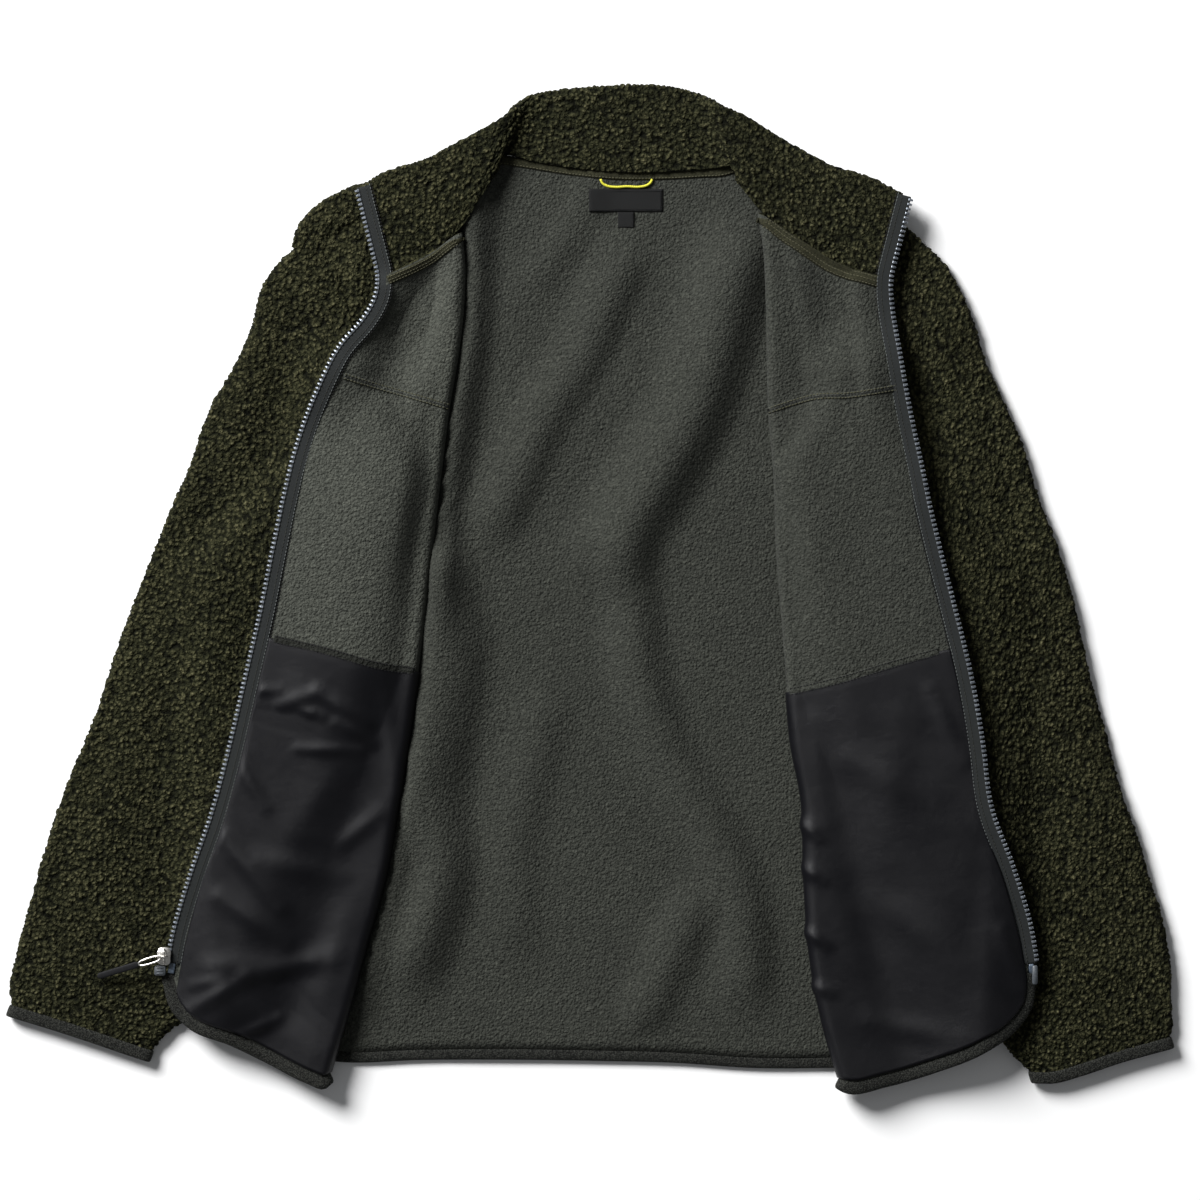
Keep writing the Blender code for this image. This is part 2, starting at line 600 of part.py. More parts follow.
def block(name, middle, size, kind, turn=0.0, bevel=0.4):
    """A box with worn edges, in mm, turned about Z."""
    x, y, z = (d / 2 for d in size)
    c, s = math.cos(turn), math.sin(turn)
    corners = [(a, b) for a, b in ((-x + bevel, -y), (x - bevel, -y), (x, -y + bevel),
                                   (x, y - bevel), (x - bevel, y), (-x + bevel, y),
                                   (-x, y - bevel), (-x, -y + bevel))]
    points = [(middle[0] + a * c - b * s, middle[1] + a * s + b * c, middle[2] + h)
              for h in (-z, z) for a, b in corners]
    faces = [list(range(7, -1, -1)), list(range(8, 16))]
    faces += [[i, (i + 1) % 8, 8 + (i + 1) % 8, 8 + i] for i in range(8)]
    return add(name, points, faces, kind)


def tape_rows(side, top, bottom):
    """Rows of the zip tape between two heights on the plan, cut square at both."""
    rows = zip_rows(side)
    y = (MIDDLE[1] - rows[:, :, 1] / UNIT)
    inside = [i for i in range(len(rows)) if y[i].min() > top + 2 and y[i].max() < bottom - 2]
    out = []
    for want in (top, bottom):
        out.append([[np.interp(want, y[:, j], rows[:, j, k]) for k in range(3)]
                    for j in range(3)])
    return np.array([out[0], *rows[inside], out[1]])


def zip_tape(side):
    rows = zip_rows(side)
    below = tape_rows(side, 330.0, TAPE_END)
    above = [row for row in rows if row[:, 1].min() > below[0][:, 1].max() + 2]
    return sheet("zip_tape_" + side.name, [*above, *below], TAPE, "zip_tape")


def zip_ends():
    """Box and pin at the zips' lower ends, each beside its piece of stiff film."""
    for side, name, x0, x1, y1, tall, reach in (
            (LEFT, "retainer_box", 155.0, 166.4, 975, 4.6, 0.72),
            (RIGHT, "insertion_pin", 1031.6, 1037.2, 984, 3.0, 0.55)):
        y0 = TAPE_END + 0.8
        film = tape_rows(side, y0, min(y1, 976))
        film[:, 2] = film[:, 1] + (film[:, 2] - film[:, 1]) * reach
        sheet("zip_film_" + side.name, film, TAPE, "film")
        middle = placed(((x0 + x1) / 2, (y0 + y1) / 2), zip_point(side, y0 + 4)[2])
        block(name, middle, ((x1 - x0) * UNIT, (y1 - y0) * UNIT, tall), "plastic")


# Slider on the left zip, sizes in mm; the pull turns about the bar of its bail
SLIDER_AT = (165.0, 955.5)
SLIDER_SIZE = (11.0, 14.0)
SLIDER_SLOT, SLIDER_PLATE = 1.6, 1.2
BAR_RADIUS, EYE_RADIUS, WIRE = 0.9, 2.3, 0.75
BAR_HEIGHT = 3.4  # over the slider's upper plate
PULL_TO = (96.0, 977.0)
PULL_SLOPE = 11.5  # degrees down to the sleeve
LINK_LENGTH, STRAP_LENGTH = 19.0, 35.0


def slider_place():
    return placed(SLIDER_AT, zip_point(LEFT, SLIDER_AT[1])[2])


def prism(name, outline, along, kind):
    """An outline in X and Z, run along Y between two values, in mm."""
    n = len(outline)
    points = [(x, y, z) for y in along for x, z in outline]
    faces = [list(range(n)), list(range(2 * n - 1, n - 1, -1))]
    faces += [[(i + 1) % n, i, n + i, n + (i + 1) % n] for i in range(n)]
    return add(name, points, faces, kind)


def united(o, helper):
    m = o.modifiers.new("join " + helper.name, "BOOLEAN")
    m.operation, m.solver, m.object = "UNION", "EXACT", helper
    helper.hide_render = True
    helper.display_type = "WIRE"


def slider():
    at_point = slider_place()
    x, y = SLIDER_SIZE[0] / 2, SLIDER_SIZE[1] / 2
    low, high, web = SLIDER_SLOT, SLIDER_SLOT + SLIDER_PLATE, -x + 4.2
    outline = [(-x, -high), (x, -high), (x, -low), (web, -low), (web, low), (x, low), (x, high),
               (-x, high)]
    body = prism("slider", outline, (-y, y), "metal")
    top = high + BAR_HEIGHT + BAR_RADIUS
    for k, (z0, z1, y0, y1) in enumerate(((high - 0.4, top, -y + 0.8, -y + 2.4),
                                          (high - 0.4, top, y - 2.4, y - 0.8),
                                          (top - 2 * BAR_RADIUS, top, -y + 1.6, y - 1.6))):
        piece = prism(f"slider_bail_{k}", [(-BAR_RADIUS, z0), (BAR_RADIUS, z0),
                                           (BAR_RADIUS, z1), (-BAR_RADIUS, z1)], (y0, y1), "metal")
        piece.location = at_point / 1000
        united(body, piece)
    body.location = at_point / 1000


def ring(name, radius, wire, kind, around=20, section=8):
    """A round ring about the Y axis."""
    points, faces = [], []
    for i in range(around):
        a = 2 * math.pi * i / around
        for j in range(section):
            b = 2 * math.pi * j / section
            r = radius + wire * math.cos(b)
            points.append((r * math.cos(a), wire * math.sin(b), r * math.sin(a)))
            k, m = (i + 1) % around, (j + 1) % section
            faces.append([i * section + j, i * section + m, k * section + m, k * section + j])
    return add(name, points, faces, kind)


def frame_of(name, inner, outer, half, kind):
    """A flat frame between two outlines of the same number of points, in X and Y."""
    n = len(outer)
    points = [(x, y, z) for z in (-half, half) for x, y in list(outer) + list(inner)]
    faces = []
    for i in range(n):
        k = (i + 1) % n
        faces += [[k, i, n + i, n + k], [2 * n + i, 2 * n + k, 3 * n + k, 3 * n + i],
                  [i, k, 2 * n + k, 2 * n + i], [n + k, n + i, 3 * n + i, 3 * n + k]]
    return add(name, points, faces, kind)


def pull():
    """Wire link with an eye on the bail's bar, and the strap that hangs from it."""
    bar = slider_place() + (0, 0, SLIDER_SLOT + SLIDER_PLATE + BAR_HEIGHT)
    run = placed(PULL_TO, 0) - placed(SLIDER_AT, 0)
    heading = math.atan2(run[1], run[0])
    tilt = math.radians(PULL_SLOPE)
    pull_object = bpy.data.objects.new("pull", None)
    bpy.context.scene.collection.objects.link(pull_object)
    pull_object.location = bar / 1000
    eye = ring("pull_link", EYE_RADIUS, WIRE, "metal")
    near, far = EYE_RADIUS, EYE_RADIUS + LINK_LENGTH
    outer = [(near, -2.0), (near + 4, -3.2), (far - 1, -3.2), (far, -2.2), (far, 2.2),
             (far - 1, 3.2), (near + 4, 3.2), (near, 2.0)]
    inner = [(near + 1.4, -0.9), (near + 4.4, -1.8), (far - 2.2, -1.8), (far - 1.5, -1.3),
             (far - 1.5, 1.3), (far - 2.2, 1.8), (near + 4.4, 1.8), (near + 1.4, 0.9)]
    loop = frame_of("pull_link_frame", inner, outer, WIRE, "metal")
    start, end, half = far + 0.4, far + 0.4 + STRAP_LENGTH, 2.6
    strap = block("pull_strap", ((start + end) / 2, 0, 0), (end - start, 2 * half, 1.7), "strap",
                  bevel=0.9)
    for piece in (loop, strap):
        piece.rotation_mode = "XYZ"
        piece.rotation_euler = (0, tilt, heading)
    united(eye, loop)
    for piece in (eye, loop, strap):
        piece.parent = pull_object


def label():
    z = CLOTH + GAP + LABEL / 2
    for name, x0, x1, y0, y1 in (("neck_label", 589, 663, 188.2, 211),
                                 ("size_tab", 618, 634, 211.6, 227)):
        middle = placed(((x0 + x1) / 2, (y0 + y1) / 2), z)
        block(name, middle, ((x1 - x0) * UNIT, (y1 - y0) * UNIT, LABEL), "label", bevel=0.5)


LOOP_PATH = [(601, 184.2), (606, 185.8), (614, 185.9), (627, 185.0), (640, 185.6), (649, 185.0),
             (653, 184.2)]
LOOP_RADIUS = 1.0  # mm


def hang_loop(steps=14, section=8):
    path = placed(curve(LOOP_PATH, spread(steps)), CLOTH + GAP + LOOP_RADIUS)
    way = np.gradient(path, axis=0)
    way /= np.linalg.norm(way, axis=1)[:, None]
    across = np.cross(way, (0, 0, 1))
    points, faces = [], []
    for i in range(steps):
        for j in range(section):
            a = 2 * math.pi * j / section
            points.append(path[i] + LOOP_RADIUS * (across[i] * math.cos(a)
                                                   + np.array((0, 0, math.sin(a)))))
            if i + 1 < steps:
                k = (j + 1) % section
                faces.append([i * section + k, i * section + j, (i + 1) * section + j,
                              (i + 1) * section + k])
    faces += [list(range(section)), list(range(steps * section - 1, (steps - 1) * section - 1, -1))]
    add("hang_loop", points, faces, "loop")


POCKET_LEFT = [(419, 672), (380, 666), (330, 652), (270, 638)]
POCKET_RIGHT = [(785, 693), (840, 680), (900, 662), (943, 650)]


def main():
    for o in list(bpy.data.objects):
        bpy.data.objects.remove(o)
    back()
    hem_binding_back()
    for side, top in ((LEFT, POCKET_LEFT), (RIGHT, POCKET_RIGHT)):
        front_solid(side)
        hem_binding_front(side)
        pocket_bag(side, top)
        sleeve(side)
        cuff_binding(side)
        neck_tape(side)
        zip_tape(side)
    collar()
    neck_tape_back()
    zip_ends()
    slider()
    pull()
    label()
    hang_loop()


main()
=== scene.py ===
"""Cloth, pile, sewing, zips, light and camera of the fleece jacket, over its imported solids.

Plan tables are in plan units of 0.78 mm, as in the part's source: x to the right, y down the
jacket. Heights are in millimetres above the surface the jacket lies on. Left is -X.
"""

import itertools
import json
import math

import bpy
import numpy as np
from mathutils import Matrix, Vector
from mathutils.bvhtree import BVHTree


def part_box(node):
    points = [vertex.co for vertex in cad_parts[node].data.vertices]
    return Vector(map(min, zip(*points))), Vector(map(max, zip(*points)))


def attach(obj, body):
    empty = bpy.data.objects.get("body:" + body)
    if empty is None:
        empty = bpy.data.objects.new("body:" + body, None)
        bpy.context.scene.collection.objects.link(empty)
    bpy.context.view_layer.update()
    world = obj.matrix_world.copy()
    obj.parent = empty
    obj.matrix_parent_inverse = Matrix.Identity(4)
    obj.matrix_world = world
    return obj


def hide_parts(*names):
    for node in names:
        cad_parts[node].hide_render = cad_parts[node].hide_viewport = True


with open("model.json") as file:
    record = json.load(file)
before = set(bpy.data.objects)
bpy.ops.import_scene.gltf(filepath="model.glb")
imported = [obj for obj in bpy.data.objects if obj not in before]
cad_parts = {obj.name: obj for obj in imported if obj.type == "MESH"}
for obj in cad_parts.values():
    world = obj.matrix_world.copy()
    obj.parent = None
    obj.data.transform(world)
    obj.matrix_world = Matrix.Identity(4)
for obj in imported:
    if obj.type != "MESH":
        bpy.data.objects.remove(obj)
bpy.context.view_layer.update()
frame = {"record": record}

# ---- dimensions, as in the part's source --------------------------------------------------
UNIT = 0.78  # mm in a plan unit
MIDDLE = (589.757, 588.834)  # plan point over the row's origin
CLOTH, GAP, COLLAR, KNIT, TAPE, BINDING_WIDTH, ROLL = 4.6, 0.3, 8.4, 1.0, 0.9, 11.0, 11.0
UNDER = 1.5 * CLOTH + 2 * GAP  # middle of a front's lower layer
UNDER_TOP = 2 * CLOTH + 2 * GAP
SLEEVE = 2 * CLOTH + 0.8
ROLL_IN = (ROLL / 2 + CLOTH / 2 + 1.0) / UNIT  # from a fold to where its roll ends
# zip edge to cloth edge, tape over the cloth and past the zip edge, and y at the tape's end
EDGE_IN, TAPE_OVER, TAPE_OUT, TAPE_END = 7.0, 6.5, 3.0, 964.0
# ---- detail that only this script has -----------------------------------------------------
PILE, CLUMP = 1.9, 4.0  # how far the pile's clumps stand out and lie apart, mm
LOWEST = 0.03  # mm from the floor to the lowest cloth
NECK_ROWS = 16  # rows of a front's lower layer above its fold
ANGLES = np.linspace(-75, 75, 9)  # round the roll of a fold, in degrees
TOOTH_PITCH = 3.6
SLIDER_RISE = 6.2  # mm from the slider's middle up to the bar of its bail

# ---- plan tables --------------------------------------------------------------------------
# Of each side: front is fold x, y and zip edge x, y, row by row. Seam to shoulder are lines of
# points, as are a sleeve's four edges, the pocket bag's seam and the chest seam. Soft ridges (+)
# and troughs (-) are x, y of one end, x, y of the other, half-width and height in mm. Slopes are
# a path, the width of the side away from the light, height, and reach towards the light. The last
# line has the neck tape's width, where the film ends, its share of the tape's reach, the gap past
# the last tooth, and the area in m2 of the front, the pocket bag and the sleeve.
LEFT_TABLES = dict(
    front=[
        (463, 230, 380, 276), (466, 262, 378, 292), (465, 306, 364, 320), (461, 346, 342, 348),
        (452, 400, 317, 400), (442, 477, 296, 462), (434, 545, 277, 545), (427, 610, 262, 618),
        (419, 674, 247, 682), (409, 744, 230, 754), (400, 800, 216, 806), (387, 877, 191, 880),
        (367, 953, 171, 946), (351, 1020, 165, 976), (335, 1081, 163, 984),
    ],
    seam=[(463, 230), (436, 249), (387, 276)],
    hem=[
        (335, 1081), (325, 1089), (306, 1083), (268, 1064), (230, 1045), (190, 1029), (170, 1008),
        (163, 984),
    ],
    side=[
        (291, 246), (314, 262), (336, 290), (350, 335), (355, 390), (348, 428), (316, 485),
        (274, 530), (243, 566), (236, 640), (234, 800), (238, 930), (254, 1036),
    ],
    neck=[(488, 158), (470, 192), (455, 224)],
    shoulder=[(488, 158), (425, 179), (360, 188), (335, 198), (315, 212), (300, 230), (291, 247)],
    sleeve=dict(
        head=[(286, 250), (310, 265), (332, 292), (346, 336), (351, 388), (368, 428), (396, 468)],
        outer=[
            (286, 250), (276, 258), (260, 287), (251, 325), (230, 371), (212, 400), (188, 465),
            (165, 519), (142, 576), (115, 649), (92, 718), (69, 775), (57, 806), (29, 900),
            (15, 953), (8, 991), (10, 1006),
        ],
        inner=[
            (396, 468), (386, 520), (364, 600), (330, 700), (298, 780), (262, 870), (222, 955),
            (186, 1020), (170, 1032), (160, 1042), (152, 1052),
        ],
        cuff=[(10, 1006), (50, 1018), (96, 1033), (128, 1044), (152, 1052)],
    ),
    folds=[
        (430, 268, 372, 352, 15, -3.2), (452, 292, 398, 372, 14, 1.8),
        (296, 690, 352, 768, 16, 1.8), (215, 985, 312, 1052, 13, 1.6),
    ],
    creases=[
        (450, 282, 392, 376, 26, -8.5), (388, 430, 346, 650, 62, 9.5),
        (318, 470, 300, 560, 24, 1.2),
    ],
    slopes=[([(424, 256), (392, 318), (357, 378)], 50, 10.6, 72)],
    sleeve_folds=[
        (262, 330, 222, 470, 20, 2.6), (306, 330, 262, 520, 22, -2.2),
        (190, 560, 142, 700, 24, 2.4), (262, 600, 214, 760, 22, -2.4),
        (120, 780, 82, 900, 22, 2.4), (190, 800, 150, 930, 20, -2.2), (60, 960, 130, 985, 16, 1.8),
        (226, 480, 190, 560, 16, -1.6), (110, 700, 90, 780, 18, -1.6),
    ],
    grooves=[
        (366, 220, 347, 231, 5, -3.6), (346, 232, 344, 318, 5, -3.6),
        (333, 238, 341, 258, 9, -2.6), (362, 250, 358, 300, 10, 1.2),
        (316, 230, 340, 214, 13, 2.0),
    ],
    bag=[(419, 672), (380, 666), (330, 652), (270, 638)],
    bag_creases=[
        (284, 704, 318, 692, 8, 1.4), (318, 692, 366, 722, 8, 1.6), (306, 710, 322, 716, 5, 1.3),
        (340, 722, 372, 742, 7, 1.6), (300, 748, 360, 750, 6, 1.2), (262, 716, 312, 724, 8, -1.0),
        (240, 764, 266, 806, 8, 1.6), (226, 838, 280, 906, 10, 2.0), (222, 896, 286, 942, 10, 1.8),
        (344, 842, 380, 812, 9, 1.5), (262, 860, 340, 876, 12, 1.3), (212, 966, 330, 958, 12, 1.5),
        (192, 1010, 246, 976, 8, 1.8), (246, 976, 312, 962, 9, 1.6),
        (240, 1034, 278, 1018, 6, 1.4), (196, 985, 222, 978, 6, 1.0), (386, 700, 398, 790, 9, 0.9),
        (330, 780, 300, 830, 14, 0.9), (350, 900, 318, 1010, 16, 1.0),
        (286, 990, 330, 1030, 10, -1.0), (250, 690, 280, 690, 5, 1.0),
    ],
    chest=[(345, 377), (381, 388), (407, 395), (449, 407)],
    neck_tape=8.6, film_end=976, film_share=0.72, last_tooth=0.5, areas=(0.156, 0.043, 0.185),
)
RIGHT_TABLES = dict(
    front=[
        (757, 210, 888, 278), (762, 240, 888, 292), (765, 291, 890, 312), (766, 345, 895, 346),
        (767, 400, 904, 400), (773, 477, 919, 472), (775, 545, 936, 545), (780, 610, 953, 612),
        (785, 674, 968, 674), (791, 744, 981, 748), (801, 800, 988, 802), (803, 877, 1013, 872),
        (807, 953, 1034, 944), (817, 1020, 1038, 974), (833, 1087, 1036, 984),
    ],
    seam=[(757, 210), (791, 236), (830, 261), (881, 278)],
    hem=[
        (833, 1087), (845, 1093), (887, 1087), (937, 1072), (983, 1053), (1015, 1031),
        (1032, 1008), (1036, 984),
    ],
    side=[
        (906, 222), (884, 244), (864, 280), (852, 335), (847, 390), (854, 428), (884, 485),
        (924, 530), (955, 566), (962, 640), (966, 800), (964, 930), (960, 1050),
    ],
    neck=[(742, 160), (756, 184), (766, 206)],
    shoulder=[(742, 160), (800, 182), (850, 200), (884, 212), (906, 222)],
    sleeve=dict(
        head=[(911, 224), (888, 247), (868, 282), (856, 336), (851, 388), (834, 428), (808, 468)],
        outer=[
            (911, 224), (933, 245), (950, 268), (964, 295), (977, 325), (987, 360), (1005, 400),
            (1025, 446), (1040, 496), (1059, 545), (1075, 599), (1090, 668), (1109, 737),
            (1126, 800), (1140, 838), (1151, 877), (1163, 915), (1172, 965), (1174, 1014),
            (1175, 1026), (1171, 1038),
        ],
        inner=[
            (808, 468), (816, 520), (836, 600), (864, 700), (896, 780), (934, 870), (968, 955),
            (996, 1024), (1003, 1042), (1014, 1058), (1030, 1073),
        ],
        cuff=[(1171, 1038), (1117, 1053), (1078, 1066), (1052, 1073), (1030, 1073)],
    ),
    folds=[
        (836, 292, 800, 392, 20, -1.8), (872, 420, 812, 560, 22, 1.4),
        (822, 830, 868, 1010, 16, 1.4), (985, 850, 960, 1010, 18, -1.2),
    ],
    creases=[
        (884, 410, 908, 560, 24, 1.2), (800, 440, 812, 600, 22, 1.4),
        (846, 470, 876, 620, 26, -1.0),
    ],
    slopes=[
        ([(812, 262), (822, 310), (828, 356)], 30, 2.8, 30),
        ([(872, 286), (876, 330), (880, 374)], 26, 2.6, 26),
    ],
    sleeve_folds=[
        (940, 330, 985, 470, 20, 2.6), (905, 360, 950, 540, 22, -2.2),
        (1010, 560, 1056, 700, 24, 2.4), (965, 600, 1000, 740, 20, -2.2),
        (1085, 780, 1116, 900, 22, 2.4), (1040, 800, 1070, 930, 20, -2.2),
        (1070, 985, 1140, 960, 16, 1.8), (1006, 470, 1030, 560, 16, -1.8),
        (1090, 690, 1112, 780, 16, -1.6),
    ],
    grooves=[(874, 246, 866, 300, 6, -1.8), (890, 224, 898, 232, 8, 0.8)],
    bag=[(785, 693), (840, 680), (900, 662), (943, 650)],
    bag_creases=[
        (803, 822, 818, 838, 6, 1.6), (806, 868, 822, 880, 6, 1.4), (806, 930, 826, 944, 6, 1.6),
        (812, 985, 830, 992, 6, 1.4), (1000, 930, 1020, 985, 8, 1.4),
        (850, 760, 930, 800, 16, 1.0), (880, 900, 960, 960, 18, 1.1),
        (870, 1020, 960, 1040, 12, 1.1), (930, 690, 962, 760, 9, 1.0),
        (812, 720, 826, 820, 12, 1.0), (900, 720, 880, 860, 20, 0.9),
    ],
    chest=[(768, 411), (792, 403), (816, 397), (845, 396), (885, 390), (896, 388)],
    neck_tape=11.4, film_end=984, film_share=0.55, last_tooth=1.0, areas=(0.163, 0.049, 0.198),
)
BACK_NECK = [
    (488, 158), (500, 155), (516, 157), (560, 164), (600, 169), (660, 170), (700, 168), (726, 166),
    (742, 160),
]
BACK_HEM = [
    (254, 1036), (339, 1052), (421, 1050), (600, 1051), (677, 1053), (753, 1058), (826, 1058),
    (960, 1050),
]
LOOP_PATH = [
    (600.4, 178.6), (602.6, 182.6), (607, 185.2), (615, 186.4), (627, 185.8), (640, 186.2),
    (647, 184.6), (650.6, 182.0), (652.4, 178.6),
]
# neck edge x, y, height | top edge x, y, height, a station a row from the left zip
COLLAR_ROWS = [
    (387, 273, 15.0, 365, 185, 13.6), (406, 263, 15.0, 383, 172, 13.6),
    (424, 252, 15.0, 423, 160, 13.6), (442, 241, 15.0, 459, 141, 14.2),
    (455, 231, 15.2, 497, 120, 15.6), (464, 222, 15.4, 508, 112, 14.8),
    (474, 206, 15.2, 514, 107, 12.4), (484, 188, 14.8, 518, 103, 9.6),
    (493, 170, 13.6, 522, 100, 7.2), (500, 154, 10.4, 527, 97, 5.6), (511, 152, 6.4, 534, 95, 4.8),
    (530, 157, 4.6, 545, 92, 4.6), (565, 163, 4.5, 575, 88, 4.6), (605, 167, 4.5, 610, 86, 4.6),
    (650, 168, 4.5, 650, 84, 4.6), (690, 166, 4.5, 676, 87, 4.6), (714, 164, 4.8, 688, 90, 4.6),
    (727, 162, 7.0, 696, 93, 5.2), (735, 161, 10.8, 702, 95, 6.6), (739, 173, 13.8, 706, 97, 9.0),
    (745, 187, 14.8, 711, 99, 12.0), (753, 200, 15.2, 716, 102, 14.4),
    (762, 209, 15.4, 726, 107, 15.4), (777, 222, 15.2, 748, 117, 14.4),
    (801, 240, 15.0, 786, 141, 13.6), (831, 258, 15.0, 828, 164, 13.6),
    (853, 267, 15.0, 866, 176, 13.6), (882, 275, 15.0, 903, 194, 13.6),
]
FOLDS_BACK = [
    (610, 384, 482, 540, 26, 2.6), (700, 290, 632, 452, 30, 2.2), (664, 470, 700, 640, 24, 1.8),
    (470, 700, 412, 905, 26, 2.0), (560, 760, 640, 930, 34, 1.4), (540, 250, 500, 330, 24, 1.6),
]
CREASES_BACK = [
    ([(487, 196), (485, 236), (481, 330), (468, 420), (453, 500), (446, 555)], 36, 13.0, 44),
    ([(462, 580), (474, 645), (462, 735), (452, 790), (463, 870), (440, 950)], 46, 13.0, 60),
    ([(634, 282), (592, 375), (562, 420), (520, 512)], 32, 7.6, 60),
    ([(757, 282), (741, 345), (716, 420), (664, 512), (642, 548)], 46, 14.5, 84),
    ([(650, 580), (655, 650), (680, 738), (728, 820), (758, 890), (766, 965)], 36, 10.5, 60),
    ([(560, 728), (546, 785), (532, 835), (534, 920)], 34, 4.6, 64),
    ([(706, 926), (688, 962), (655, 1036)], 34, 7.0, 56),
    ([(600, 200), (584, 236), (560, 270)], 30, 3.0, 40),
]


# ---- plan geometry ------------------------------------------------------------------------
def unit(v):
    """Vectors along the last axis, made one long."""
    return v / np.maximum(np.linalg.norm(v, axis=-1), 1e-9)[..., None]


def arc(line):
    """Length along a line up to each of its points."""
    return np.r_[0, np.cumsum(np.linalg.norm(np.diff(line, axis=0), axis=1))]


def hermite(p, s, t):
    """Smooth values through the rows of p, which lie at s, sampled at t."""
    slope = np.gradient(p, s, axis=0)
    i = np.clip(np.searchsorted(s, t, "right") - 1, 0, len(s) - 2)
    h = (s[i + 1] - s[i])[..., None]
    u = ((t - s[i]) / (s[i + 1] - s[i]))[..., None]
    return ((2 * u**3 - 3 * u**2 + 1) * p[i] + (u**3 - 2 * u**2 + u) * h * slope[i]
            + (3 * u**2 - 2 * u**3) * p[i + 1] + (u**3 - u**2) * h * slope[i + 1])


def curve(points, t):
    """Smooth line through the points, sampled at t from 0 to 1 along its length."""
    p = np.array(points, float)
    return hermite(p, arc(p) / arc(p)[-1], np.clip(np.asarray(t, float), 0, 1))


def spread(n):
    return np.linspace(0, 1, n)


def step(x):
    """Smooth rise from 0 to 1 as x does."""
    x = np.clip(x, 0, 1)
    return x * x * (3 - 2 * x)


def offset(line, distance):
    """The line moved to its left (as drawn, y down) by a distance in plan units."""
    d = unit(np.gradient(line, axis=0))
    return line + distance * np.stack([d[:, 1], -d[:, 0]], axis=1)


def at(line, distance):
    """Points at distances along a line."""
    s = arc(line)
    return np.stack([np.interp(distance, s, line[:, k]) for k in range(line.shape[1])], axis=-1)


def even(line, pitch):
    """The line resampled about every pitch along its length."""
    long = arc(line)[-1]
    return at(line, np.linspace(0, long, max(2, round(long / pitch) + 1)))


def coons(top, bottom, left, right, rows=None):
    """Rows of plan points filling four sampled edges that share their corners."""
    rows = spread(len(left)) if rows is None else rows
    u, v = spread(len(top))[None, :, None], rows[:, None, None]
    corners = ((1 - u) * (1 - v) * top[0] + u * (1 - v) * top[-1]
               + (1 - u) * v * bottom[0] + u * v * bottom[-1])
    return ((1 - v) * top[None] + v * bottom[None] + (1 - u) * left[:, None]
            + u * right[:, None] - corners)


def placed(plan, z):
    """Plan points and heights in mm as row points in mm."""
    plan = np.asarray(plan, float)
    x, y = (plan[..., 0] - MIDDLE[0]) * UNIT, (MIDDLE[1] - plan[..., 1]) * UNIT
    return np.stack([x, y, z + 0 * x], axis=-1)


def plan_of(points):
    """Plan x and y under row points in mm."""
    return points[..., 0] / UNIT + MIDDLE[0], MIDDLE[1] - points[..., 1] / UNIT


def ridges(x, y, table):
    """Height in mm of the table's soft ridges and troughs at plan points."""
    z = np.zeros_like(x)
    for ax, ay, bx, by, width, height in table:
        ux, uy = bx - ax, by - ay
        t = np.clip(((x - ax) * ux + (y - ay) * uy) / (ux * ux + uy * uy), 0, 1)
        far = np.hypot(x - ax - t * ux, y - ay - t * uy)
        z += height * np.exp(-((far / width) ** 2)) * (0.75 + 0.25 * np.cos(5 * t - 2))
    return z


def slopes(x, y, table):
    """Height in mm of folds that rise over `reach` and fall over `width` across a path."""
    z = np.zeros_like(x)
    for path, width, drop, reach in table:
        line = curve(path, spread(25))
        along = unit(np.gradient(line, axis=0))
        i = np.argmin(np.hypot(x[..., None] - line[:, 0], y[..., None] - line[:, 1]), axis=-1)
        dx, dy = x - line[i, 0], y - line[i, 1]
        far = dx * along[i, 1] - dy * along[i, 0]
        past = (dx * along[i, 0] + dy * along[i, 1]) * np.where(i == 0, -1, i == len(line) - 1)
        rise = step((far + reach) / (reach - width / 2))
        fall = 1 - step((far + width / 2) / width)
        z += drop * np.minimum(rise, fall) * np.exp(-(np.maximum(past, 0) / width) ** 2)
    return z


def hashed(i, j, k, seed):
    """Even numbers from 0 to 1, one for each cell."""
    n = np.sin(i * 127.1 + j * 311.7 + k * 74.7 + seed * 19.19) * 43758.5453
    return n - np.floor(n)


def waves(points, size, seed):
    """Smooth unevenness from -1 to 1 at points in mm."""
    p = points / size
    base = np.floor(p)
    t = step(p - base)
    total = 0.0
    for c in itertools.product((0, 1), repeat=3):
        share = np.prod(np.where(c, t, 1 - t), axis=-1)
        total = total + share * hashed(*np.moveaxis(base + c, -1, 0), seed)
    return 2 * total - 1


def clumps(points, seed):
    """Heights from 0 to 1 of curled clumps of pile at points in mm."""
    curl = np.stack([waves(points, 2.6, seed + k) for k in (5, 6, 7)], axis=-1)
    p = (points + 1.1 * curl) / CLUMP
    base = np.floor(p)
    first, second = np.full((2, *p.shape[:-1]), 9.0)
    tall = np.zeros(p.shape[:-1])
    for c in itertools.product((-1, 0, 1), repeat=3):
        cell = base + c
        at_cell = np.moveaxis(cell, -1, 0)
        heart = np.stack([hashed(*at_cell, seed + k) for k in (1, 2, 3)], axis=-1)
        far = np.linalg.norm(p - cell - 0.1 - 0.8 * heart, axis=-1)
        near = far < first
        second = np.where(near, first, np.minimum(second, far))
        tall = np.where(near, hashed(*at_cell, seed + 4), tall)
        first = np.where(near, far, first)
    dome = np.sqrt(np.clip(1 - first**2, 0, 1))
    return dome * step((second - first + 0.03) / 0.42) * (0.62 + 0.38 * tall)


